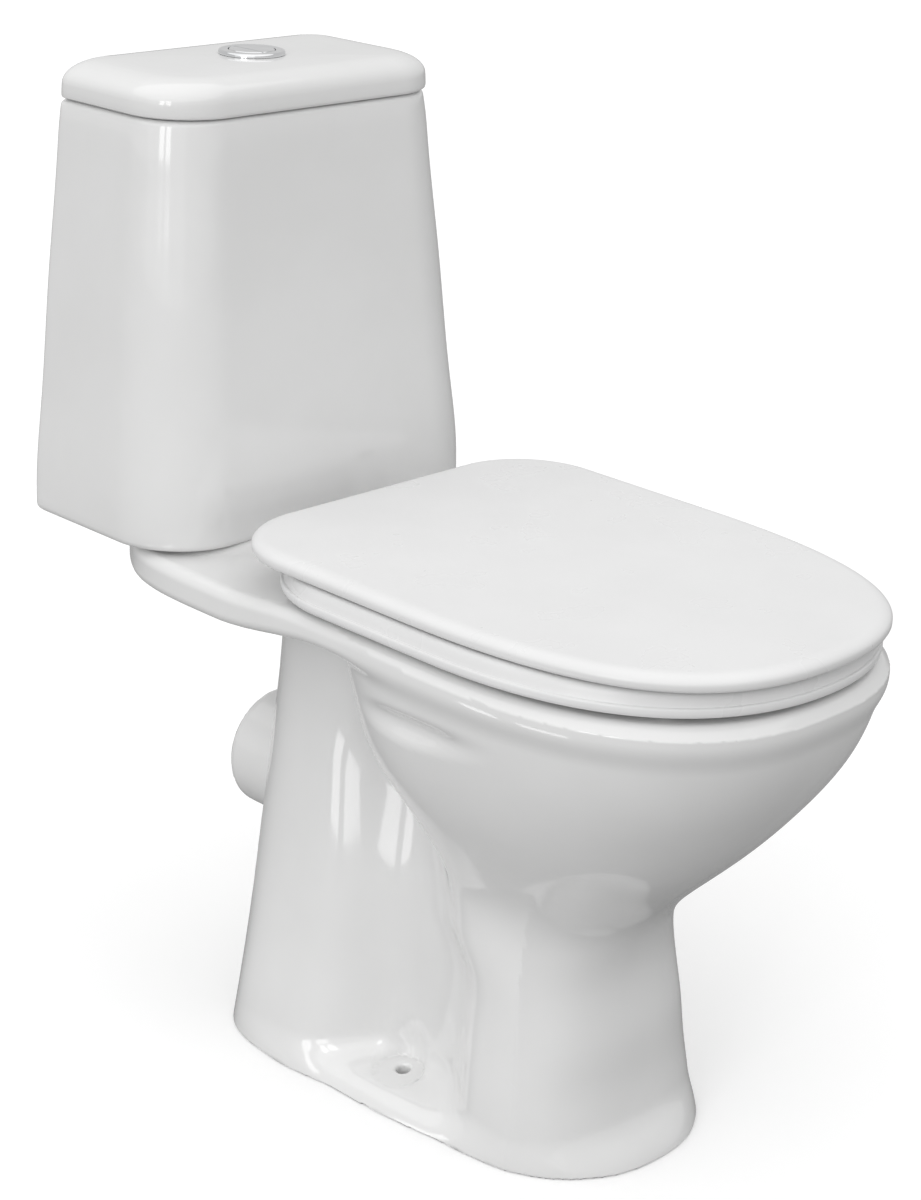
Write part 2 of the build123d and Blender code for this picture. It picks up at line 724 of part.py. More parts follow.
nut_plane = Plane(origin=(nut_x, out(supply_out), supply_z), x_dir=(0, 1, 0), z_dir=(1, 0, 0))
with BuildPart() as fill_valve_nut:
    with BuildSketch(nut_plane):
        RegularPolygon(15, 6, major_radius=False)
        Circle(shank_r, mode=Mode.SUBTRACT)
    extrude(amount=shank_end_x - nut_x)
fill_valve_nut.part.label = "fill_valve_nut"
export_step(fill_valve_nut.part, "parts/fill_valve_nut.step")

with BuildPart() as float_pin:
    add(bar_y(float_pin_r, supply_out - pin_reach, supply_out + pin_reach, float_pin_x, float_pin_z))
float_pin.part.label = "float_pin"
export_step(float_pin.part, "parts/float_pin.step")

with BuildPart() as float_arm:
    with BuildSketch(Plane(origin=(0, out(supply_out), 0), x_dir=(1, 0, 0), z_dir=(0, -1, 0))):
        with BuildLine():
            Polyline(
                (float_pin_x, float_pin_z + 3),
                (float_x - 8, float_pin_z + 3 - arm_drop),
                (float_x - 8, float_pin_z - 3 - arm_drop),
                (float_pin_x, float_pin_z - 3),
                close=True,
            )
        make_face()
        with Locations((float_pin_x, float_pin_z)):
            Circle(eye_r)
            Circle(float_pin_r + pin_gap, mode=Mode.SUBTRACT)
    extrude(amount=arm_half, both=True)
    add(rod(2.0, float_high_z, float_pin_z + 6, float_x, float_out), mode=Mode.SUBTRACT)
float_arm.part.label = "float_arm"
export_step(float_arm.part, "parts/float_arm.step")

with BuildPart() as float_adjuster:
    add(rod(2.0, float_high_z, float_pin_z + 2, float_x, float_out))
float_adjuster.part.label = "float_adjuster"
export_step(float_adjuster.part, "parts/float_adjuster.step")

with BuildPart() as float_cup:
    add(rod(float_r, float_low_z, float_high_z, float_x, float_out))
    fillet(float_cup.edges(), radius=4)
float_cup.part.label = "float_cup"
export_step(float_cup.part, "parts/float_cup.step")

# ---------------------------------------------------------------- seat hinges
post_r = 8.0
post_eye_r = 7.5
post_half = 7.0
lug_eye_r = 6.5
lug_gap = 1.0
lug_width = 11.0
foot_r = 11.0
hinge_washer_thick = 3.0
bolt_top_z = hinge_z - 8
seat_bolt_r = 3.0
inner_lug_x = hinge_x - post_half - lug_gap - lug_width
outer_lug_x = hinge_x + post_half + lug_gap

with BuildPart() as hinge_posts:
    for side in (-1, 1):
        x = side * hinge_x
        add(rod(foot_r, rim_z, ring_z - 1, x, hinge_out))
        add(rod(post_r, rim_z, hinge_z, x, hinge_out))
        add(bar_x(post_eye_r, x - post_half, x + post_half, hinge_out, hinge_z))
        add(bar_x(pin_r, x - foot_r, x + foot_r, hinge_out, hinge_z), mode=Mode.SUBTRACT)
        add(rod(seat_bolt_r, rim_z - 1, bolt_top_z, x, hinge_out), mode=Mode.SUBTRACT)
hinge_posts.part.label = "hinge_posts"
export_step(hinge_posts.part, "parts/hinge_posts.step")

with BuildPart() as hinge_pins:
    add(bar_x(pin_r, inner_lug_x - 1, outer_lug_x + lug_width + 1, hinge_out, hinge_z))
    add(bar_x(pin_r, -outer_lug_x - lug_width - 1, -inner_lug_x + 1, hinge_out, hinge_z))
hinge_pins.part.label = "hinge_pins"
export_step(hinge_pins.part, "parts/hinge_pins.step")

with BuildPart() as hinge_bolts:
    for side in (-1, 1):
        add(rod(seat_bolt_r, bolt_end_z, bolt_top_z, side * hinge_x, hinge_out))
hinge_bolts.part.label = "hinge_bolts"
export_step(hinge_bolts.part, "parts/hinge_bolts.step")

with BuildPart() as hinge_washers:
    for side in (-1, 1):
        add(tube(10, seat_bolt_r, under_deck_z - hinge_washer_thick, under_deck_z, side * hinge_x,
                 hinge_out))
hinge_washers.part.label = "hinge_washers"
export_step(hinge_washers.part, "parts/hinge_washers.step")

with BuildPart() as hinge_wing_nuts:
    for side in (-1, 1):
        add(wing_nut(seat_bolt_r, 11, under_deck_z - hinge_washer_thick, side * hinge_x, hinge_out))
hinge_wing_nuts.part.label = "hinge_wing_nuts"
export_step(hinge_wing_nuts.part, "parts/hinge_wing_nuts.step")

# ---------------------------------------------------------------- seat ring
ring_half = 162.0
ring_rear = 236.0
ring_front = 660.0
ring_corner = 72.0
ring_groove_z = 427.5
band_inset = 3.0
opening_half = 106.0
opening_rear = 276.0
opening_widest = 425.0
opening_front = 594.0
notch_half = 9.5

with BuildPart() as seat_ring:
    add(seat_outline(ring_z, ring_half, ring_rear, ring_corner, cover_widest, ring_front))
    extrude(amount=ring_groove_z - ring_z)
    add(seat_outline(ring_groove_z, ring_half - band_inset, ring_rear, ring_corner, cover_widest,
                     ring_front - band_inset))
    extrude(amount=ring_top_z - ring_groove_z)
    fillet(seat_ring.faces().sort_by(Axis.Z)[-1].edges(), radius=5)
    add(oval(ring_z, opening_half, opening_rear, opening_widest, opening_front))
    extrude(amount=ring_top_z - ring_z, mode=Mode.SUBTRACT)
    for side in (-1, 1):
        add(
            block(side * hinge_x - notch_half, side * hinge_x + notch_half, ring_rear - 1, ring_rear + 10,
                  ring_z - 1, ring_top_z + 1),
            mode=Mode.SUBTRACT,
        )
        low = side * (inner_lug_x + lug_width / 2) - lug_width / 2
        high = low + lug_width
        add(bar_x(lug_eye_r, low, high, hinge_out, hinge_z))
        add(block(low, high, hinge_out, ring_rear + 8, hinge_z - lug_eye_r, ring_top_z - 3))
        add(bar_x(pin_r + pin_gap, low - 1, high + 1, hinge_out, hinge_z), mode=Mode.SUBTRACT)
seat_ring.part.label = "seat_ring"
export_step(seat_ring.part, "parts/seat_ring.step")

with BuildPart() as ring_buffers:
    with BuildSketch(level(collar_z + clear)):
        with Locations((-138, out(350)), (138, out(350)), (-100, out(592)), (100, out(592))):
            RectangleRounded(12, 30, 5)
    extrude(amount=ring_z - collar_z - clear)
ring_buffers.part.label = "ring_buffers"
export_step(ring_buffers.part, "parts/ring_buffers.step")

# ---------------------------------------------------------------- seat cover
cover_inner_z = cover_top_z - cover_shell

with BuildPart() as seat_cover:
    add(seat_outline(cover_z, cover_half, cover_rear, cover_corner, cover_widest, cover_front))
    extrude(amount=cover_top_z - cover_z)
    fillet(seat_cover.faces().sort_by(Axis.Z)[-1].edges(), radius=6)
    add(seat_outline(cover_z, cover_half - cover_shell, cover_rear + cover_shell, cover_corner - cover_shell,
                     cover_widest, cover_front - cover_shell))
    extrude(amount=cover_inner_z - cover_z, mode=Mode.SUBTRACT)
    for side in (-1, 1):
        add(
            block(side * hinge_x - notch_half, side * hinge_x + notch_half, cover_rear - 1,
                  hinge_out, cover_z - 1, cover_inner_z),
            mode=Mode.SUBTRACT,
        )
        low = side * (outer_lug_x + lug_width / 2) - lug_width / 2
        high = low + lug_width
        add(bar_x(lug_eye_r, low, high, hinge_out, hinge_z))
        add(block(low, high, hinge_out - 5, hinge_out + 5, hinge_z, cover_inner_z + 1))
        add(bar_x(pin_r + pin_gap, low - 1, high + 1, hinge_out, hinge_z), mode=Mode.SUBTRACT)
seat_cover.part.label = "seat_cover"
export_step(seat_cover.part, "parts/seat_cover.step")

with BuildPart() as cover_buffers:
    with BuildSketch(level(ring_top_z + clear)):
        with Locations((-132, out(330)), (132, out(330)), (-96, out(584)), (96, out(584))):
            Circle(8)
    extrude(amount=cover_inner_z - ring_top_z - clear)
cover_buffers.part.label = "cover_buffers"
export_step(cover_buffers.part, "parts/cover_buffers.step")
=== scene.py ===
"""Looks of the close coupled toilet: glazed pan, cistern and lid, moulded seat, chrome push buttons."""
import math

import bmesh
import bpy
import numpy as np
from mathutils import Matrix, Vector


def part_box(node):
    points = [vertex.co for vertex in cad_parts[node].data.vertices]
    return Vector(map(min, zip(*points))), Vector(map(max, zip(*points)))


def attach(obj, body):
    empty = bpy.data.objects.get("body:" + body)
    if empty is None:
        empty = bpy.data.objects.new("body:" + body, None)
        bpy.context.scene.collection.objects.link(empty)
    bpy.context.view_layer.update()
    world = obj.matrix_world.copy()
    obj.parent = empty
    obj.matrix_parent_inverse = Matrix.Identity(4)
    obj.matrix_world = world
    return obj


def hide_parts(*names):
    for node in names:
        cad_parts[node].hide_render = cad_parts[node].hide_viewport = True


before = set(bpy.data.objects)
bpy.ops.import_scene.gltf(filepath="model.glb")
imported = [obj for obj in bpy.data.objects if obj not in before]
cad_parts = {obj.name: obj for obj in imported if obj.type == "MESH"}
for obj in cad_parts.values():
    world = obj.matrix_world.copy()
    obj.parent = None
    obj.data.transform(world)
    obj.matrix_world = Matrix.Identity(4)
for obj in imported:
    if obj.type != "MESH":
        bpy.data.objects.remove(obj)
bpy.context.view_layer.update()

MM = 0.001
wall_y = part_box("cistern_body")[1].y / MM            # the plane of the wall, in millimetres


# ---------------------------------------------------------------- small helpers
def node_top(node):
    """Highest Z of a CAD node, in millimetres."""
    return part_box(node)[1].z / MM


def node_low(node):
    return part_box(node)[0].z / MM


def node_far(node):
    """Greatest distance of a CAD node in front of the wall, in millimetres."""
    return wall_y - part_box(node)[0].y / MM


def node_near(node):
    return wall_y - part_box(node)[1].y / MM


def node_half(node):
    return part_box(node)[1].x / MM


def place(points):
    """Points given as (x, distance in front of the wall, z) in millimetres, in the frame's metres."""
    points = np.asarray(points, float)
    return np.stack([points[:, 0], wall_y - points[:, 1], points[:, 2]], 1) * MM


def make_mesh(name, points, faces, smooth=True):
    """A mesh object from points in the frame's metres."""
    mesh = bpy.data.meshes.new(name)
    mesh.from_pydata([tuple(p) for p in points], [], [tuple(f) for f in faces])
    mesh.validate()
    mesh.polygons.foreach_set("use_smooth", [smooth] * len(mesh.polygons))
    mesh.update()
    piece = bpy.data.objects.new(name, mesh)
    bpy.context.scene.collection.objects.link(piece)
    return piece


def faces_outwards(piece):
    """Turns every face of a closed piece to look out of it."""
    shape = bmesh.new()
    shape.from_mesh(piece.data)
    bmesh.ops.recalc_face_normals(shape, faces=shape.faces)
    shape.to_mesh(piece.data)
    shape.free()


def sharpen(piece, degrees):
    """Marks the edges that turn by more than this as sharp, and smooths the rest."""
    shape = bmesh.new()
    shape.from_mesh(piece.data)
    limit = math.radians(degrees)
    for edge in shape.edges:
        edge.smooth = len(edge.link_faces) != 2 or edge.calc_face_angle(0.0) < limit
    shape.to_mesh(piece.data)
    shape.free()


def finish_piece(piece, body, slot, *nodes):
    """Gives a piece its material, the CAD body that it moves with and the CAD nodes that it stands for."""
    piece.data.materials.clear()
    piece.data.materials.append(materials[slot])
    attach(piece, body)
    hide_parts(*nodes)


# ---------------------------------------------------------------- materials
def new_material(name):
    """A material with its principled shader."""
    material = bpy.data.materials.new(name)
    material.use_nodes = True
    shader = material.node_tree.nodes["Principled BSDF"]
    return material, shader


def noise(tree, scale, detail=3.0, rough=0.5):
    """A noise texture in the object's own metres."""
    coordinates = tree.nodes.new("ShaderNodeTexCoord")
    texture = tree.nodes.new("ShaderNodeTexNoise")
    texture.inputs["Scale"].default_value = scale
    texture.inputs["Detail"].default_value = detail
    texture.inputs["Roughness"].default_value = rough
    tree.links.new(coordinates.outputs["Object"], texture.inputs["Vector"])
    return texture.outputs["Fac"]


def ramp(tree, value, stops):
    """Colours along a value: stops are (position, colour)."""
    node = tree.nodes.new("ShaderNodeValToRGB")
    elements = node.color_ramp.elements
    while len(elements) < len(stops):
        elements.new(0.5)
    for element, (position, colour) in zip(elements, stops):
        element.position = position
        element.color = (*colour, 1.0)
    tree.links.new(value, node.inputs["Fac"])
    return node.outputs["Color"]


def spread(tree, value, low, high, start=0.3, end=0.7):
    """The value between start and end, as a number between low and high."""
    node = tree.nodes.new("ShaderNodeMapRange")
    node.inputs["From Min"].default_value = start
    node.inputs["From Max"].default_value = end
    node.inputs["To Min"].default_value = low
    node.inputs["To Max"].default_value = high
    tree.links.new(value, node.inputs["Value"])
    return node.outputs["Result"]


def bump(tree, height, strength, distance, below=None):
    """A normal from a height, on top of another bump if there is one below."""
    node = tree.nodes.new("ShaderNodeBump")
    node.inputs["Strength"].default_value = strength
    node.inputs["Distance"].default_value = distance
    tree.links.new(height, node.inputs["Height"])
    if below is not None:
        tree.links.new(below, node.inputs["Normal"])
    return node.outputs["Normal"]


def vitreous_china():
    """Fired white glaze: clear gloss over a faintly uneven and wavy body."""
    material, shader = new_material("vitreous_china")
    tree = material.node_tree
    cloud = noise(tree, 9.0, 4.0, 0.55)
    colour = ramp(tree, cloud, [(0.35, (0.765, 0.765, 0.762)), (0.65, (0.79, 0.79, 0.788))])
    tree.links.new(colour, shader.inputs["Base Color"])
    tree.links.new(spread(tree, noise(tree, 30.0, 5.0, 0.6), 0.07, 0.13), shader.inputs["Roughness"])
    waviness = bump(tree, noise(tree, 26.0, 1.0, 0.4), 0.06, 0.002)
    peel = bump(tree, noise(tree, 420.0, 2.0, 0.5), 0.03, 0.0004, waviness)
    tree.links.new(peel, shader.inputs["Normal"])
    shader.inputs["IOR"].default_value = 1.52
    shader.inputs["Coat Weight"].default_value = 0.5
    shader.inputs["Coat Roughness"].default_value = 0.03
    return material


def seat_plastic():
    """Moulded white thermoset: softer gloss than the glaze, with a faint moulding grain."""
    material, shader = new_material("seat_plastic")
    tree = material.node_tree
    shades = [(0.35, (0.755, 0.755, 0.755)), (0.65, (0.775, 0.775, 0.775))]
    colour = ramp(tree, noise(tree, 14.0, 3.0), shades)
    tree.links.new(colour, shader.inputs["Base Color"])
    tree.links.new(spread(tree, noise(tree, 25.0, 3.0), 0.26, 0.32), shader.inputs["Roughness"])
    tree.links.new(bump(tree, noise(tree, 500.0, 2.0), 0.02, 0.0002), shader.inputs["Normal"])
    shader.inputs["IOR"].default_value = 1.5
    return material


def polished_metal(name, low_colour, high_colour, low_rough, high_rough, grain):
    """Metal with faint smears and fine polishing grain."""
    material, shader = new_material(name)
    tree = material.node_tree
    shader.inputs["Metallic"].default_value = 1.0
    colour = ramp(tree, noise(tree, 60.0, 3.0), [(0.35, low_colour), (0.65, high_colour)])
    tree.links.new(colour, shader.inputs["Base Color"])
    tree.links.new(spread(tree, noise(tree, 180.0, 5.0), low_rough, high_rough), shader.inputs["Roughness"])
    tree.links.new(bump(tree, noise(tree, grain, 2.0), 0.04, 0.0002), shader.inputs["Normal"])
    return material


def moulded_plastic(name, low_colour, high_colour, low_rough, high_rough, grain):
    """Injection moulded plastic with a fine eroded grain and slight flow marks."""
    material, shader = new_material(name)
    tree = material.node_tree
    colour = ramp(tree, noise(tree, 35.0, 5.0), [(0.3, low_colour), (0.7, high_colour)])
    tree.links.new(colour, shader.inputs["Base Color"])
    tree.links.new(spread(tree, noise(tree, 120.0, 4.0), low_rough, high_rough), shader.inputs["Roughness"])
    tree.links.new(bump(tree, noise(tree, grain, 3.0), 0.12, 0.0004), shader.inputs["Normal"])
    return material


materials = {
    "vitreous_china": vitreous_china(),
    "seat_plastic": seat_plastic(),
    "chrome": polished_metal("chrome", (0.72, 0.73, 0.74), (0.80, 0.80, 0.81), 0.05, 0.12, 900.0),
    "valve_plastic": moulded_plastic(
        "valve_plastic", (0.70, 0.70, 0.67), (0.76, 0.76, 0.74), 0.32, 0.45, 1400.0
    ),
    "overflow_plastic": moulded_plastic(
        "overflow_plastic", (0.05, 0.13, 0.32), (0.06, 0.16, 0.38), 0.3, 0.42, 1400.0
    ),
    "rubber": moulded_plastic(
        "rubber", (0.010, 0.010, 0.010), (0.022, 0.022, 0.021), 0.6, 0.8, 700.0
    ),
    "buffer_rubber": moulded_plastic(
        "buffer_rubber", (0.60, 0.60, 0.58), (0.67, 0.67, 0.65), 0.55, 0.7, 700.0
    ),
    "brass": polished_metal("brass", (0.50, 0.34, 0.12), (0.62, 0.44, 0.18), 0.18, 0.34, 1200.0),
    "stainless": polished_metal("stainless", (0.46, 0.46, 0.47), (0.56, 0.56, 0.57), 0.2, 0.34, 1600.0),
}

node_slots = {
    "chrome": ["button_bezel", "full_flush_button", "half_flush_button"],
    "valve_plastic": [
        "flush_valve_base", "flush_valve_nut", "flush_valve_cage", "fill_valve_body", "fill_valve_spout",
        "fill_valve_nut", "float_arm", "float_cup", "full_flush_rod", "half_flush_rod", "bezel_nut",
        "hinge_wing_nuts",
    ],
    "overflow_plastic": ["overflow_tube", "float_adjuster"],
    "rubber": [
        "coupling_gasket", "cistern_pads", "bolt_cone_washers", "flush_valve_washer", "fill_valve_washers",
        "valve_seal", "hinge_washers",
    ],
    "buffer_rubber": ["ring_buffers", "cover_buffers"],
    "brass": ["cistern_bolts", "bolt_wing_nuts", "float_pin"],
    "stainless": ["bolt_washers", "hinge_pins", "hinge_bolts"],
    "seat_plastic": ["hinge_posts", "seat_ring", "seat_cover"],
    "vitreous_china": ["pan", "cistern_body", "cistern_lid"],
}


def dress_nodes():
    """Every CAD node gets its slot's material."""
    for slot, nodes in node_slots.items():
        for name in nodes:
            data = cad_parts[name].data
            data.materials.clear()
            data.materials.append(materials[slot])


# ---------------------------------------------------------------- curves through a few values
def spline(knots, values, at):
    """Natural cubic spline through a few values."""
    x = np.asarray(knots, float)
    y = np.asarray(values, float)
    n = len(x)
    h = np.diff(x)
    system = np.eye(n)
    right = np.zeros(n)
    for i in range(1, n - 1):
        system[i, i - 1:i + 2] = h[i - 1], 2 * (h[i - 1] + h[i]), h[i]
        right[i] = 6 * ((y[i + 1] - y[i]) / h[i] - (y[i] - y[i - 1]) / h[i - 1])
    m = np.linalg.solve(system, right)
    at = np.clip(at, x[0], x[-1])
    i = np.clip(np.searchsorted(x, at) - 1, 0, n - 2)
    a = (x[i + 1] - at) / h[i]
    b = (at - x[i]) / h[i]
    curve = ((a ** 3 - a) * m[i] + (b ** 3 - b) * m[i + 1]) * h[i] ** 2 / 6
    return a * y[i] + b * y[i + 1] + curve


def table(rows, z):
    """Each column of the rows after the first, as a smooth curve over the first column."""
    columns = np.asarray(rows, float).T
    return [spline(columns[0], column, z) for column in columns[1:]]


# ---------------------------------------------------------------- solid shapes as distances
def egg(x, d, half, rear, widest, front, power):
    """About the distance from an egg-shaped plan: below zero inside."""
    length = np.where(d < widest, widest - rear, front - widest)
    a = np.abs(x) / half
    b = np.abs(d - widest) / length
    r = np.maximum((a ** power + b ** power) ** (1 / power), 1e-4)
    slope = np.hypot((a / r) ** (power - 1) / half, (b / r) ** (power - 1) / length)
    return (r - 1) / np.maximum(slope, 1e-5)


def blend_in(a, b, k):
    """The union of two shapes with a soft fillet between them."""
    h = np.maximum(k - np.abs(a - b), 0) / k
    return np.minimum(a, b) - h * h * k / 4


def blend_off(a, b, k):
    """What two shapes share, with a rounded edge."""
    return -blend_in(-a, -b, k)


def slab(outline, z, low, high, edge):
    """A plate with this outline and rounded edges."""
    across = outline + edge
    up = np.abs(z - (low + high) / 2) - (high - low) / 2 + edge
    return np.minimum(np.maximum(across, up), 0) + np.hypot(np.maximum(across, 0), np.maximum(up, 0)) - edge


def capsule(x, d, z, start, end, r):
    """A round bar between two points, given as (x, distance, z)."""
    start = np.asarray(start, float)
    run = np.asarray(end, float) - start
    along = ((x - start[0]) * run[0] + (d - start[1]) * run[1] + (z - start[2]) * run[2]) / (run @ run)
    along = np.clip(along, 0, 1)
    dx = x - start[0] - along * run[0]
    dd = d - start[1] - along * run[1]
    dz = z - start[2] - along * run[2]
    return np.sqrt(dx * dx + dd * dd + dz * dz) - r


def surface(field, xs, ds, zs):
    """Points and four-sided faces of the surface where the field is zero, on a grid."""
    grid = field(xs[:, None, None], ds[None, :, None], zs[None, None, :])
    grid = np.where(np.abs(grid) < 1e-6, 1e-6, grid)
    counts = [len(xs), len(ds), len(zs)]
    cells = [n - 1 for n in counts]
    total = np.zeros(cells + [3])
    number = np.zeros(cells)
    axes = (xs, ds, zs)
    crossings = []
    for axis in range(3):
        low = [slice(None)] * 3
        high = [slice(None)] * 3
        low[axis] = slice(0, -1)
        high[axis] = slice(1, None)
        a, b = grid[tuple(low)], grid[tuple(high)]
        cross = (a < 0) != (b < 0)
        share = np.where(cross, a / np.where(cross, a - b, 1.0), 0.0)
        crossings.append((cross, a < 0))
        others = [k for k in range(3) if k != axis]
        for first in (0, 1):
            for second in (0, 1):
                pick = [slice(None)] * 3
                pick[others[0]] = slice(first, first + cells[others[0]])
                pick[others[1]] = slice(second, second + cells[others[1]])
                c = cross[tuple(pick)]
                s = share[tuple(pick)]
                number += c
                for k in range(3):
                    shape = [1, 1, 1]
                    shape[k] = -1
                    if k == axis:
                        start = axes[k][:-1].reshape(shape)
                        step = np.diff(axes[k]).reshape(shape)
                        total[..., k] += c * (start + s * step)
                    else:
                        offset = first if k == others[0] else second
                        total[..., k] += c * axes[k][offset:offset + cells[k]].reshape(shape)
    live = number > 0
    index = np.full(cells, -1)
    index[live] = np.arange(live.sum())
    points = total[live] / number[live][:, None]
    faces = []
    for axis in range(3):
        cross, inside = crossings[axis]
        others = [k for k in range(3) if k != axis]
        where = np.argwhere(cross)
        keep = np.ones(len(where), bool)
        for k in others:
            keep &= (where[:, k] > 0) & (where[:, k] < counts[k] - 1)
        where = where[keep]
        corners = []
        for first, second in ((-1, -1), (0, -1), (0, 0), (-1, 0)):
            cell = where.copy()
            cell[:, others[0]] += first
            cell[:, others[1]] += second
            corners.append(index[tuple(cell.T)])
        quads = np.stack(corners, 1)
        turn = inside[tuple(where.T)] == (axis == 1)
        quads[turn] = quads[turn][:, ::-1]
        faces.append(quads)
    return points, np.concatenate(faces)


def slope_of(field, points, step=0.05):
    """The field's value at the points, and how fast it rises along each axis."""
    x, d, z = points.T
    value = field(x, d, z)
    slope = np.stack([
        field(x + step, d, z) - value,
        field(x, d + step, z) - value,
        field(x, d, z + step) - value,
    ], 1) / step
    return value, slope


def settle(field, points, faces, rounds, reach=2.0):
    """Evens the faces out along the surface and brings every point exactly onto it."""
    edges = np.concatenate([faces[:, [0, 1]], faces[:, [1, 2]], faces[:, [2, 3]], faces[:, [3, 0]]])
    for turn in range(rounds + 1):
        for _ in range(2):
            value, slope = slope_of(field, points)
            size = np.maximum((slope ** 2).sum(1), 1e-3)
            move = -(value / size)[:, None] * slope
            length = np.linalg.norm(move, axis=1)[:, None]
            points = points + move * np.minimum(1, reach / np.maximum(length, 1e-9))
        if turn == rounds:
            break
        total = np.zeros_like(points)
        for k in range(3):
            total[:, k] = np.bincount(edges[:, 0], points[edges[:, 1], k], len(points))
            total[:, k] += np.bincount(edges[:, 1], points[edges[:, 0], k], len(points))
        number = np.bincount(edges.ravel(), minlength=len(points))[:, None]
        move = (total / number - points) * 0.6
        _, slope = slope_of(field, points)
        normal = slope / np.maximum(np.linalg.norm(slope, axis=1)[:, None], 1e-6)
        points = points + move - (move * normal).sum(1)[:, None] * normal
    return points


def steps(*spans):
    """Grid lines: each span is (start, end, spacing)."""
    lines = [np.linspace(a, b, max(2, round((b - a) / s) + 1))[:-1] for a, b, s in spans]
    return np.concatenate(lines + [[spans[-1][1]]])


# ---------------------------------------------------------------- pan
collar_z = node_low("ring_buffers") - 0.3            # top of the rim
rim_z = node_low("hinge_posts")                      # top of the deck
plinth_z = node_low("cistern_pads")
deck_rear = 58.0
deck_half = 168.0
deck_straight = 215.0                                # from here to rim_widest the sides run straight
rim_widest = 438.0
rim_front = 661.0
deck_low_z = rim_z - 28.0
deck_edge = 9.0
outlet_z = 192.0
outlet_r = 51.0
outlet_bore_r = 43.0
outlet_rear = node_near("pan") + 40.0
hole_x = 78.0
hole_out = 345.0
hole_r = 5.5
foot_z = 22.0                                        # top of the foot around a floor fixing hole
pocket_x = 162.0
pocket_out = 392.0
pocket_z = 354.0
pocket_deep = 13.0
pocket_long = 72.0
pocket_high = 11.0
trap_r = 38.0
outlet_bore_end = 158.0
hollow_floor_z = 98.0                                # lowest point of the bowl's inside
hole_top_z = 60.0
skin_wall = 14.0                                     # thickness of the clay around the empty core
bowl_wall = 13.0
trap_wall = 10.0
core_top_z = 345.0
inlet_r = 38.0                                       # recess in the deck under the cistern
inlet_floor_z = 392.0
passage_r = 28.0                                     # and the passage below it
passage_low_z = 385.0
plinth_half = 132.0
valve_out = 104.0                                    # middle of the flush valve and of the deck's inlet

# the bowl: height, half width, rear, widest, front, squareness
bowl_rows = (
    (0, 100, 402, 448, 534, 2.4),
    (30, 99, 402, 448, 527, 2.4),
    (60, 96, 403, 448, 520, 2.4),
    (100, 91, 404, 448, 515, 2.4),
    (140, 88, 398, 444, 507, 2.3),
    (165, 88, 382, 431, 509, 2.3),
    (180, 88, 378, 426, 514, 2.25),
    (200, 91, 374, 421, 526, 2.3),
    (225, 102, 366, 421, 549, 2.3),
    (260, 120, 332, 428, 583, 2.35),
    (300, 140, 292, 434, 616, 2.4),
    (340, 154, 284, 437, 642, 2.5),
    (374, 162, 276, 438, 656, 2.5),
    (394, 165, 270, 438, 660, 2.5),
    (418, 165, 266, 438, 660, 2.5),
)
pedestal_rows = (
    (0, 122, 146, 235, 318, 3.0),
    (30, 118, 149, 235, 316, 3.0),
    (90, 107, 155, 236, 312, 3.0),
    (165, 97, 162, 238, 308, 3.0),
    (260, 91, 170, 240, 305, 2.9),
    (330, 90, 174, 242, 305, 2.8),
    (418, 96, 172, 245, 310, 2.8),
)
# height, half width of the wall between the pedestal and the bowl
web_rows = (
    (0, 68),
    (40, 66),
    (100, 66),
    (160, 64),
    (220, 58),
    (300, 50),
    (350, 46),
    (418, 46),
)
hollow_rows = (
    (96, 24, 402, 425, 448, 2.2),
    (118, 38, 388, 425, 462, 2.2),
    (150, 52, 384, 428, 472, 2.2),
    (200, 72, 384, 430, 508, 2.2),
    (250, 100, 350, 428, 558, 2.3),
    (300, 121, 307, 432, 596, 2.4),
    (350, 131, 286, 434, 616, 2.4),
    (390, 132, 278, 434, 615, 2.4),
    (420, 126, 272, 434, 607, 2.4),
)


def deck_outline(x, d):
    """Plan of the deck and rim: squarish at the wall, full and round at the front."""
    rear = egg(x, d, deck_half, deck_rear, deck_straight, 900.0, 3.6)
    front = egg(x, d, deck_half, -200.0, rim_widest, rim_front, 2.5)
    return np.where(d < deck_straight, rear, np.where(d > rim_widest, front, np.abs(x) - deck_half))


def pan_body(x, d, z):
    """Pedestal, foot and bowl without the deck."""
    bowl = egg(x, d, *table(bowl_rows, z))
    pedestal = egg(x, d, *table(pedestal_rows, z))
    web_half = table(web_rows, z)[0]
    web = np.maximum(np.abs(x) - web_half, np.abs(d - 320.0) - 130.0)
    base = egg(x, d, 124.0, 144.0, 274.0, 549.0, 2.5)
    foot_top = z - 8.0 - 15.0 * (1 - np.exp(np.minimum(base, 0) / 25.0))
    foot = blend_off(base + 3.5 + 0.2 * z, foot_top, 14.0)
    body = blend_in(blend_in(bowl, web, 44.0), pedestal, 40.0)
    body = blend_in(body, foot, 20.0)
    above = np.maximum(z - foot_z - 6.0, 0) * 0.6
    dish = np.sqrt((np.abs(x) - hole_x - 2.0) ** 2 + (d - hole_out) ** 2 + above ** 2) - 16.0
    return blend_off(body, -np.maximum(dish, foot_z - z), 10.0)


def trap(x, d, z, r):
    """The passage from the sump, over the weir and back to the outlet."""
    route = (
        (0, 425, 118), (0, 330, 116), (0, 300, 140), (0, 268, 205), (0, 235, 222),
        (0, 190, outlet_z), (0, 150, outlet_z),
    )
    shape = capsule(x, d, z, route[0], route[1], r)
    for start, end in zip(route[1:-1], route[2:]):
        shape = blend_in(shape, capsule(x, d, z, start, end, r), 10.0)
    return shape


def pocket(x, d, z):
    """The long shallow dent in each side of the bowl, under the rim."""
    across = (np.abs(x) - pocket_x) / pocket_deep
    along = (d - pocket_out) / pocket_long
    up = (z - pocket_z - (d - pocket_out) * 0.10) / pocket_high
    return (np.sqrt(across ** 2 + along ** 2 + up ** 2) - 1) * 10.0


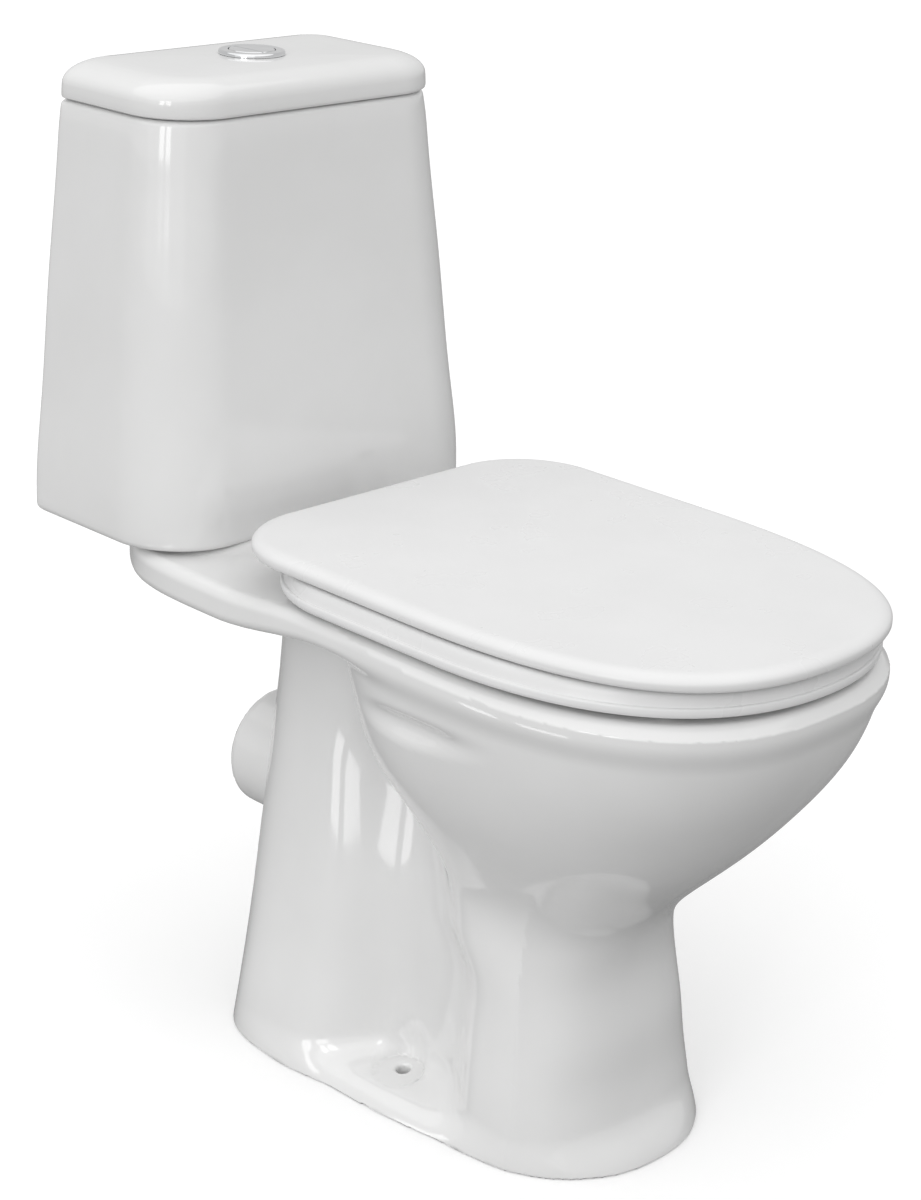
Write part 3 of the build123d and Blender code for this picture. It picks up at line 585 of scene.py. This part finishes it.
def pan_field(x, d, z):
    """The whole pan: below zero in the fired clay."""
    body = np.maximum(pan_body(x, d, z), z - rim_z + 6.0)
    outline = deck_outline(x, d)
    forward = np.clip((d - deck_straight) / 120.0, 0, 1)
    low_z = deck_low_z + 13.0 * forward * forward * (3 - 2 * forward)
    raised = np.clip((d - 225.0) / 90.0, 0, 1)
    high_z = rim_z + (collar_z - rim_z) * raised * raised * (3 - 2 * raised)
    deck = slab(outline + 0 * z, z + 0 * x, low_z, high_z, np.minimum(deck_edge, (high_z - low_z) / 2))
    plinth_plan = egg(x, d, plinth_half, deck_rear + 12, 100.0, 168.0, 3.4)
    plinth = slab(plinth_plan + 0 * z, z + 0 * x, rim_z - 20.0, plinth_z, 3.0)
    deck = blend_in(deck, plinth, 22.0)
    solid = blend_in(body, deck, 16.0)
    spigot = slab(np.hypot(x, z - outlet_z) - outlet_r + 0 * d, d + 0 * x, outlet_rear, 200.0, 7.0)
    solid = blend_in(solid, spigot, 10.0)
    solid = blend_off(solid, -pocket(x, d, z), 7.0)
    hollow = np.maximum(egg(x, d, *table(hollow_rows, z)), hollow_floor_z - z)
    solid = blend_off(solid, -hollow, 9.0)
    bore = trap(x, d, z, trap_r)
    solid = blend_off(solid, -bore, 4.0)
    outlet = np.maximum(np.hypot(x, z - outlet_z) - outlet_bore_r + 0 * d, d - outlet_bore_end)
    solid = blend_off(solid, -outlet, 3.0)
    core = np.maximum(
        np.maximum(body + skin_wall, bowl_wall - hollow), np.maximum(trap_wall - bore, z - core_top_z)
    )
    solid = blend_off(solid, -core, 4.0)
    inlet = np.maximum(np.hypot(x, d - valve_out) - inlet_r + 0 * z, inlet_floor_z - z)
    passage = np.maximum(np.hypot(x, d - valve_out) - passage_r + 0 * z, passage_low_z - z)
    solid = blend_off(solid, -np.minimum(inlet, passage), 1.5)
    hole = np.hypot(np.abs(x) - hole_x, d - hole_out) - hole_r + 0 * z
    hole = np.maximum(hole, z - hole_top_z)
    solid = blend_off(solid, -hole, 2.5)
    return blend_off(solid, -z + 0 * solid, 2.0)


def build_pan():
    half = steps((0, 70, 4.6), (70, 86, 1.8), (86, 172, 4.5))
    xs = np.concatenate([-half[:0:-1], half])
    ds = steps((50, 335, 4.6), (335, 355, 1.9), (355, 676, 4.6))
    zs = steps((-5, 8, 2.6), (8, 34, 2.2), (34, 368, 4.6), (368, 420, 2.0))
    points, faces = surface(pan_field, xs, ds, zs)
    points = settle(pan_field, points, faces, 4)
    piece = make_mesh("pan_glazed", place(points), faces)
    faces_outwards(piece)
    _, slope = slope_of(pan_field, points)
    normals = slope / np.maximum(np.linalg.norm(slope, axis=1)[:, None], 1e-6) * (1, -1, 1)
    piece.data.normals_split_custom_set_from_vertices(normals.tolist())
    finish_piece(piece, "toilet", "vitreous_china", "pan")


# ---------------------------------------------------------------- plan outlines with a fixed number of points
def arc_points(centre, r, start, end, count):
    angle = np.radians(np.linspace(start, end, count, endpoint=False))
    return np.stack([centre[0] + r * np.cos(angle), centre[1] + r * np.sin(angle)], 1)


def line_points(start, end, count):
    share = np.linspace(0, 1, count, endpoint=False)[:, None]
    return np.asarray(start) * (1 - share) + np.asarray(end) * share


def bezier_points(p0, p1, p2, p3, count):
    t = np.linspace(0, 1, count, endpoint=False)[:, None]
    p0, p1, p2, p3 = (np.asarray(p, float) for p in (p0, p1, p2, p3))
    return (1 - t) ** 3 * p0 + 3 * t * (1 - t) ** 2 * p1 + 3 * t * t * (1 - t) * p2 + t ** 3 * p3


def tank_plan(half, front, corner, rear, rear_corner):
    """Cistern plan as (x, distance) points: the left half from the rear centre to the front centre."""
    left = np.concatenate([
        line_points((0, rear), (-half + rear_corner, rear), 18),
        arc_points((-half + rear_corner, rear + rear_corner), rear_corner, 270, 180, 8),
        line_points((-half, rear + rear_corner), (-half, front - corner), 14),
        arc_points((-half + corner, front - corner), corner, 180, 90, 22),
        line_points((-half + corner, front), (0, front), 18),
        [(0.0, front)],
    ])
    return both_sides_closed(left)


def both_sides_closed(left):
    """Mirrors a left half whose first and last points lie on X = 0."""
    right = left[-2:0:-1] * (-1, 1)
    return np.concatenate([left, right])


def seat_plan(half, rear, corner, widest, front, full=0.7):
    """Plan of the cover or the ring: straight at the rear, round at the front."""
    length = front - widest
    left = np.concatenate([
        line_points((0, rear), (-half + corner, rear), 14),
        arc_points((-half + corner, rear + corner), corner, 270, 180, 20),
        line_points((-half, rear + corner), (-half, widest), 16),
        bezier_points(
            (-half, widest), (-half, widest + full * length), (-half * full, front), (0, front), 40
        ),
        [(0.0, front)],
    ])
    return both_sides_closed(left)


def ring_stack(name, rings, closed=False):
    """A skin over a stack of outlines with as many points each; an open stack gets a face at each end."""
    count = len(rings[0])
    points = np.concatenate(rings)
    faces = []
    pairs = range(len(rings)) if closed else range(len(rings) - 1)
    for k in pairs:
        low = k * count
        high = (k + 1) % len(rings) * count
        for i in range(count):
            j = (i + 1) % count
            faces.append((low + i, low + j, high + j, high + i))
    if not closed:
        faces.append(tuple(range(count - 1, -1, -1)))
        faces.append(tuple((len(rings) - 1) * count + i for i in range(count)))
    piece = make_mesh(name, place(points), faces)
    faces_outwards(piece)
    return piece


def at_height(plan, z):
    """A plan outline at one height, or at a height for each point."""
    heights = np.broadcast_to(z, len(plan))
    return np.column_stack([plan, heights])


def cut(piece, cutter):
    """Cuts a hole, and removes the cutter."""
    modifier = piece.modifiers.new("cut", "BOOLEAN")
    modifier.operation = "DIFFERENCE"
    modifier.solver = "EXACT"
    modifier.object = cutter
    bpy.context.view_layer.update()
    evaluated = piece.evaluated_get(bpy.context.evaluated_depsgraph_get())
    mesh = bpy.data.meshes.new_from_object(evaluated)
    piece.modifiers.clear()
    piece.data = mesh
    bpy.data.objects.remove(cutter)


def round_bar(start, end, r, sides=48):
    """A plain round bar between two points in millimetres, for cutting holes."""
    a, b = (Vector(p) for p in place([start, end]))
    shape = bmesh.new()
    bmesh.ops.create_cone(
        shape, cap_ends=True, segments=sides, radius1=r * MM, radius2=r * MM, depth=(b - a).length
    )
    turn = (b - a).to_track_quat("Z", "Y").to_matrix().to_4x4()
    bmesh.ops.transform(shape, matrix=Matrix.Translation((a + b) / 2) @ turn, verts=shape.verts)
    mesh = bpy.data.meshes.new("bar")
    shape.to_mesh(mesh)
    shape.free()
    bar = bpy.data.objects.new("bar", mesh)
    bpy.context.scene.collection.objects.link(bar)
    return bar


# ---------------------------------------------------------------- cistern
tank_low_z = node_low("cistern_body")
tank_top_z = node_top("cistern_body")
tank_half_rows = (
    (tank_low_z, 171.0, 170.0, 64.0),
    (tank_low_z + 30, 170.6, 168.2, 62.5),
    (tank_low_z + 90, 164.6, 161.8, 60.0),
    (tank_low_z + 190, 155.2, 152.2, 57.0),
    (tank_top_z - 40, 145.0, 142.6, 52.0),
    (tank_top_z - 12, 142.0, 139.8, 50.5),
    (tank_top_z, 140.0, 138.2, 50.0),
)
tank_wall = 10.0
tank_floor_z = tank_low_z + 14.0
valve_hole_r = 27.0
bolt_x = 75.0
bolt_hole_r = 6.0
supply_out = 60.0                                    # water supply, through the side of the cistern
supply_z = 690.0
supply_hole_r = 11.2
supply_seat_r = 17.0
supply_face_x = 143.3                                # flat seats around the supply hole
supply_inner_x = 137.0


def tank_ring(z, inset, rear_corner=8.0):
    half, front, corner = (float(v) for v in table(tank_half_rows, np.float64(z)))
    plan = tank_plan(half - inset, front - inset, max(corner - inset, 4), inset, rear_corner)
    return at_height(plan, z)


def build_cistern():
    outside = [(tank_low_z, 60), (tank_low_z, 14), (tank_low_z, 8)]
    edge = 6.0
    outside += [
        (tank_low_z + edge * (1 - math.cos(math.radians(a))), edge * (1 - math.sin(math.radians(a))))
        for a in (10, 30, 50, 70, 90)
    ]
    rise = np.linspace(tank_low_z + 12, tank_top_z - 8, 30)
    outside += [(z, 0) for z in rise]
    lip = 4.0
    outside += [
        (tank_top_z - lip * (1 - math.sin(math.radians(a))), lip * (1 - math.cos(math.radians(a))))
        for a in (0, 20, 40, 60, 80, 90)
    ]
    inside = [(tank_top_z, 7.5), (tank_top_z - 0.6, 9.2), (tank_top_z - 2.2, tank_wall)]
    inside += [(z, tank_wall) for z in np.linspace(tank_top_z - 10, tank_floor_z + 14, 20)]
    fillet = 10
    inside += [
        (tank_floor_z + fillet * (1 - math.sin(math.radians(a))),
         tank_wall + fillet * (1 - math.cos(math.radians(a))))
        for a in (20, 45, 70, 90)
    ]
    inside += [(tank_floor_z, 60)]
    rings = [tank_ring(z, i) for z, i in outside]
    rings += [tank_ring(z, i, 14.0) for z, i in inside]
    piece = ring_stack("cistern_glazed", rings)
    for x, r in ((0, valve_hole_r), (-bolt_x, bolt_hole_r), (bolt_x, bolt_hole_r)):
        cut(piece, round_bar((x, valve_out, tank_low_z - 5), (x, valve_out, tank_floor_z + 5), r))
    for near_x, far_x, r in (
        (120, 180, supply_hole_r), (supply_face_x, 180, supply_seat_r), (110, supply_inner_x, supply_seat_r)
    ):
        cut(piece, round_bar((near_x, supply_out, supply_z), (far_x, supply_out, supply_z), r))
    sharpen(piece, 40)
    finish_piece(piece, "toilet", "vitreous_china", "cistern_body")


# ---------------------------------------------------------------- cistern lid
lid_low_z = tank_top_z + 1.0
lid_top_z = node_top("cistern_lid")
lid_half = 142.5
lid_front = 140.5
lid_corner = 52.0
button_out = (node_far("button_bezel") + node_near("button_bezel")) / 2


def lid_ring(z, inset, rear_corner=10.0):
    plan = tank_plan(
        lid_half - inset * 1.4, lid_front - inset, max(lid_corner - inset, 6), 0.5 + inset * 0.2, rear_corner
    )
    return at_height(plan, z)


def build_lid():
    skirt_z = lid_low_z + 11.0
    skirt_inset = 0.3
    shoulder = 25.0
    dome = 1.6
    rise = lid_top_z - dome - skirt_z
    profile = [(lid_low_z + 0.2, 3.0), (lid_low_z + 0.2, 1.6), (lid_low_z + 1.4, 0.3)]
    profile += [(lid_low_z + 3, 0), (lid_low_z + 7, 0.1), (skirt_z, skirt_inset)]
    for a in range(8, 91, 7):
        t = math.radians(a)
        profile.append((skirt_z + rise * math.sin(t) ** 0.95, skirt_inset + shoulder * (1 - math.cos(t))))
    rings = [lid_ring(z, i, 12.0) for z, i in profile]
    edge = rings[-1][:, :2]
    centre = np.array([0.0, 70.0])
    for share in (0.93, 0.85, 0.75, 0.6, 0.45):
        plan = centre + (edge - centre) * share
        z = lid_top_z - dome * share ** 2.2
        rings.append(at_height(plan, z))
    outer = rings
    inner = [(lid_low_z + 0.2, 9.0), (lid_low_z + 0.2, 13.0)]
    inner += [(lid_low_z - 6.4, 13.0), (lid_low_z - 7.0, 13.6)]
    inner += [(lid_low_z - 7.0, 16.4), (lid_low_z - 6.4, 17.0), (lid_low_z + 6, 17.2), (lid_low_z + 15, 20.0)]
    inner += [(lid_low_z + 19.5, 24.0), (lid_low_z + 21.5, 30.0), (lid_low_z + 21.5, 50.0)]
    rings = [lid_ring(z, i, 14.0) for z, i in reversed(inner)] + outer
    piece = ring_stack("cistern_lid_glazed", rings)
    cut(piece, round_bar((0, button_out, lid_low_z), (0, button_out, lid_top_z + 20), 20.0))
    sharpen(piece, 40)
    finish_piece(piece, "lid", "vitreous_china", "cistern_lid")


# ---------------------------------------------------------------- seat
cover_top_z = node_top("seat_cover")
cover_low_z = cover_top_z - 13.9
cover_half = node_half("seat_cover")
cover_rear = node_near("seat_cover")
cover_front = node_far("seat_cover")
seat_widest = 420.0
hinge_x = 77.5
hinge_out = 228.0
pin_bore_r = 3.05
lug_r = 6.5
lug_width = 11.0
lug_step = 13.5                                      # from the middle of a post to the middle of a lug
post_room = 9.5                                      # half the width of the room for a hinge post
hinge_z = (node_top("hinge_pins") + node_low("hinge_pins")) / 2


def cover_ring(z, inset):
    plan = seat_plan(cover_half - inset, cover_rear + inset, 72.0 - inset, seat_widest, cover_front - inset)
    return at_height(plan, z)


def lug(x, z_high):
    """A hinge eye with its block, closed all round, across the hinge pin."""
    count = 40
    angle = np.linspace(0, 2 * math.pi, count, endpoint=False)
    ring_d = lug_r * np.cos(angle)
    ring_z = lug_r * np.sin(angle)
    top = z_high - hinge_z
    outer_z = np.where(ring_z > 0, np.maximum(ring_z, ring_z / lug_r * top), ring_z)
    rings = []
    chamfer = 0.8
    low, high = x - lug_width / 2, x + lug_width / 2
    for level, grow in (
        (low, -chamfer), (low + chamfer, 0), (high - chamfer, 0), (high, -chamfer), (high, None), (low, None)
    ):
        if grow is None:
            d, z = pin_bore_r * np.cos(angle), pin_bore_r * np.sin(angle)
        else:
            share = (lug_r + grow) / lug_r
            d, z = ring_d * share, outer_z * share
        rings.append(np.column_stack([np.full(count, level), hinge_out + d, hinge_z + z]))
    piece = ring_stack("lug", rings, closed=True)
    sharpen(piece, 40)
    return piece


def notch_block(x, near, far, low_z, high_z):
    """A block that cuts the room for a hinge post into a rear edge."""
    low, high = place([(x - post_room, far, low_z), (x + post_room, near, high_z)])
    return box_piece("notch", low, high)


def join(pieces):
    """All pieces as one, in the first."""
    shape = bmesh.new()
    for piece in pieces:
        shape.from_mesh(piece.data)
    shape.to_mesh(pieces[0].data)
    shape.free()
    for piece in pieces[1:]:
        bpy.data.objects.remove(piece)
    return pieces[0]


def build_cover():
    height = cover_top_z - 0.6 - cover_low_z
    straight = 5.0                                   # height of the upright part of the edge
    shoulder = 12.0
    dome = 1.4
    profile = [(cover_low_z, 3.6), (cover_low_z, 2.2), (cover_low_z + 0.8, 0.8), (cover_low_z + 2.4, 0.0)]
    profile += [(cover_low_z + straight, 0.0)]
    for a in range(6, 91, 7):
        t = math.radians(a)
        rise = (height - straight - dome) * math.sin(t)
        profile.append((cover_low_z + straight + rise, shoulder * (1 - math.cos(t))))
    rings = [cover_ring(z, i) for z, i in profile]
    edge = rings[-1][:, :2]
    centre = np.array([0.0, 430.0])
    for share in (0.96, 0.9, 0.8, 0.65, 0.45, 0.25, 0.08):
        plan = centre + (edge - centre) * share
        z = cover_low_z + height - dome * share ** 3
        rings.append(at_height(plan, z))
    inner_z = cover_top_z - 4.0
    inner = [(cover_low_z, 4.0), (cover_low_z + 1, 4.2)]
    inner += [(inner_z - 4.5, 6.0), (inner_z - 1.5, 8.0), (inner_z, 12.0)]
    inner_rings = [cover_ring(z, i) for z, i in inner]
    edge = inner_rings[-1][:, :2]
    for share in (0.8, 0.5, 0.2):
        plan = centre + (edge - centre) * share
        inner_rings.append(at_height(plan, inner_z))
    piece = ring_stack("seat_cover_moulded", inner_rings[::-1] + rings)
    for side in (-1, 1):
        cut(piece, notch_block(side * hinge_x, cover_rear - 1, hinge_out, cover_low_z - 1, inner_z))
    sharpen(piece, 50)
    lugs = [lug(side * (hinge_x + lug_step), inner_z + 1.0) for side in (-1, 1)]
    join([piece] + lugs)
    finish_piece(piece, "cover", "seat_plastic", "seat_cover")


ring_low_z = node_low("seat_ring")
ring_top_z = ring_low_z + 18.5
ring_half = node_half("seat_ring") + 9.0
ring_rear = 236.0
ring_corner = 98.0
ring_widest = 448.0
ring_front = node_far("seat_ring") + 1.0
opening = dict(half=106.0, rear=276.0, widest=425.0, front=594.0)


def ring_outer(inset):
    return seat_plan(
        ring_half - inset, ring_rear + inset, ring_corner - inset, ring_widest, ring_front - inset, 0.63
    )


def ring_inner(grow):
    """The opening's outline, with as many points as the outer one."""
    outer = ring_outer(0.0)
    half = opening["half"] + grow
    rear = opening["rear"] - grow
    front = opening["front"] + grow
    widest = opening["widest"]
    angle = np.arctan2(outer[:, 1] - widest, outer[:, 0])
    c, s = np.cos(angle), np.sin(angle)
    length = np.where(s < 0, widest - rear, front - widest)
    power = np.where(s < 0, 2.1, 2.3)
    scale = (np.abs(c / half) ** power + np.abs(s / length) ** power) ** (-1 / power)
    return np.column_stack([scale * c, widest + scale * s])


def build_ring():
    step_z = ring_low_z + 7.6
    profile = [
        (ring_low_z, 5.0), (ring_low_z, 2.8), (ring_low_z + 0.6, 1.3), (ring_low_z + 1.8, 0.4),
        (ring_low_z + 3.4, 0.0), (step_z - 1.2, 0.0), (step_z - 0.4, 0.4), (step_z, 1.1),
        (step_z + 0.2, 2.2), (step_z + 1.0, 2.6), (step_z + 4.0, 3.2), (ring_top_z - 4.0, 4.2),
        (ring_top_z - 1.8, 5.4), (ring_top_z - 0.5, 7.4), (ring_top_z, 10.0),
    ]
    rings = [at_height(ring_outer(i), z) for z, i in profile]
    outer = ring_outer(10.0)
    inner = ring_inner(8.0)
    for share in (0.15, 0.35, 0.6, 0.85):
        plan = outer * (1 - share) + inner * share
        rings.append(at_height(plan, ring_top_z - 2.4 * share ** 2))
    lip = [(ring_top_z - 3.0, 7.0), (ring_top_z - 4.4, 3.6)]
    lip += [(ring_top_z - 7.0, 1.0), (ring_top_z - 10.0, 0.0)]
    lip += [(ring_low_z + 3.5, 0.6), (ring_low_z + 1.0, 2.0), (ring_low_z, 4.0)]
    rings += [at_height(ring_inner(i), z) for z, i in lip]
    piece = ring_stack("seat_ring_moulded", rings, closed=True)
    for side in (-1, 1):
        notch = notch_block(side * hinge_x, ring_rear - 20, ring_rear + 10, ring_low_z - 5, ring_top_z + 5)
        cut(piece, notch)
    sharpen(piece, 35)
    lugs = [lug(side * (hinge_x - lug_step), ring_top_z - 3.0) for side in (-1, 1)]
    arms = [ring_arm(side * (hinge_x - lug_step)) for side in (-1, 1)]
    join([piece] + lugs + arms)
    finish_piece(piece, "ring", "seat_plastic", "seat_ring")


def box_piece(name, low, high):
    shape = bmesh.new()
    bmesh.ops.create_cube(shape, size=1.0)
    for vertex in shape.verts:
        for k in range(3):
            vertex.co[k] = low[k] if vertex.co[k] < 0 else high[k]
    bmesh.ops.recalc_face_normals(shape, faces=shape.faces)
    mesh = bpy.data.meshes.new(name)
    shape.to_mesh(mesh)
    shape.free()
    piece = bpy.data.objects.new(name, mesh)
    bpy.context.scene.collection.objects.link(piece)
    return piece


def ring_arm(x):
    """The short arm from the ring's rear edge to its hinge eye."""
    half = lug_width / 2
    low, high = place([
        (x - half, ring_rear + 8, hinge_z - 6.3), (x + half, hinge_out + 3.6, ring_top_z - 3.0)
    ])
    piece = box_piece("arm", low, high)
    shape = bmesh.new()
    shape.from_mesh(piece.data)
    bmesh.ops.bevel(shape, geom=list(shape.edges), offset=0.0008, segments=2, affect="EDGES")
    shape.to_mesh(piece.data)
    shape.free()
    return piece


# ---------------------------------------------------------------- stage
floor_glow = 0.14
floor_bounce = 0.33                                  # what the floor gives back to the object


def build_stage():
    """A wide, plain, pale floor."""
    points = [(-40, -40, 0), (40, -40, 0), (40, 40, 0), (-40, 40, 0)]
    floor = make_mesh("floor", points, [(0, 1, 2, 3)])
    material, shader = new_material("pale_floor")
    tree = material.node_tree
    colour = ramp(tree, noise(tree, 2.0, 3.0), [(0.4, (0.90, 0.90, 0.90)), (0.6, (0.91, 0.91, 0.91))])
    tree.links.new(colour, shader.inputs["Base Color"])
    shader.inputs["Roughness"].default_value = 0.7
    shader.inputs["Specular IOR Level"].default_value = 0.1
    shader.inputs["Emission Color"].default_value = (1.0, 1.0, 1.0, 1.0)
    shader.inputs["Emission Strength"].default_value = floor_glow
    paths = tree.nodes.new("ShaderNodeLightPath")
    dull = tree.nodes.new("ShaderNodeBsdfDiffuse")
    dull.inputs["Color"].default_value = (floor_bounce, floor_bounce, floor_bounce, 1.0)
    mix = tree.nodes.new("ShaderNodeMixShader")
    output = tree.nodes["Material Output"]
    tree.links.new(paths.outputs["Is Camera Ray"], mix.inputs["Fac"])
    tree.links.new(dull.outputs["BSDF"], mix.inputs[1])
    tree.links.new(shader.outputs["BSDF"], mix.inputs[2])
    tree.links.new(mix.outputs["Shader"], output.inputs["Surface"])
    floor.data.materials.append(material)


# ---------------------------------------------------------------- camera and light
camera_turn = -45.7                                  # degrees, millimetres and pixels
camera_pitch = 20.98
camera_roll = 2.29
camera_distance = 1969.3
camera_aside = -7.35
camera_target = (0.0, 321.3, 386.8)
camera_focal = 2589.0                                # pixels of the image's height
image_height = 1200
sensor_width = 36.0


def build_camera():
    turn, pitch, roll = (math.radians(a) for a in (camera_turn, camera_pitch, camera_roll))
    back = Vector((math.sin(turn) * math.cos(pitch), -math.cos(turn) * math.cos(pitch), math.sin(pitch)))
    right = Vector((math.cos(turn), math.sin(turn), 0))
    up = back.cross(right)
    across = right * math.cos(roll) + up * math.sin(roll)
    rise = up * math.cos(roll) - right * math.sin(roll)
    target = Vector(place([camera_target])[0])
    spot = target + back * camera_distance * MM + right * camera_aside * MM
    data = bpy.data.cameras.new("camera")
    camera = bpy.data.objects.new("camera", data)
    bpy.context.scene.collection.objects.link(camera)
    matrix = Matrix((across, rise, back)).transposed().to_4x4()
    matrix.translation = spot
    camera.matrix_world = matrix
    data.sensor_width = sensor_width
    data.lens = camera_focal * sensor_width / image_height
    data.clip_end = 50.0
    bpy.context.scene.camera = camera


def area_light(name, spot, aim, width, height, power):
    data = bpy.data.lights.new(name, "AREA")
    data.shape = "RECTANGLE"
    data.size = width
    data.size_y = height
    data.energy = power
    light = bpy.data.objects.new(name, data)
    light.location = spot
    light.rotation_mode = "QUATERNION"
    light.rotation_quaternion = (Vector(aim) - Vector(spot)).to_track_quat("-Z", "Y")
    bpy.context.scene.collection.objects.link(light)


def sun(name, towards, power, spread_angle):
    """A wide soft light from one direction, the same all over the floor."""
    data = bpy.data.lights.new(name, "SUN")
    data.energy = power
    data.angle = math.radians(spread_angle)
    light = bpy.data.objects.new(name, data)
    light.rotation_mode = "QUATERNION"
    light.rotation_quaternion = Vector(towards).to_track_quat("-Z", "Y")
    bpy.context.scene.collection.objects.link(light)


def build_lights():
    world = bpy.data.worlds.new("studio")
    world.use_nodes = True
    sky = world.node_tree.nodes["Background"]
    sky.inputs["Color"].default_value = (1.0, 1.0, 1.0, 1.0)
    sky.inputs["Strength"].default_value = 0.66
    bpy.context.scene.world = world
    sun("overhead", (0.25, 0.15, -1.0), 1.22, 110)
    sun("left", (1.0, 0.45, -0.35), 0.30, 70)
    area_light("window_1", (-2.7, -1.15, 1.34), (0, 0, 0.45), 0.42, 1.2, 5.5)
    area_light("window_2", (-2.85, -0.60, 1.34), (0, 0, 0.45), 0.42, 1.2, 5.5)
    area_light("low_panel_1", (-0.62, 0.15, 0.075), (-0.05, 0.15, 0.12), 0.13, 0.11, 0.12)
    area_light("low_panel_2", (-0.62, -0.10, 0.075), (-0.05, -0.10, 0.12), 0.20, 0.11, 0.18)


dress_nodes()
build_pan()
build_cistern()
build_lid()
build_cover()
build_ring()
build_camera()
build_stage()
build_lights()
scene = bpy.context.scene
scene.view_settings.view_transform = "Standard"
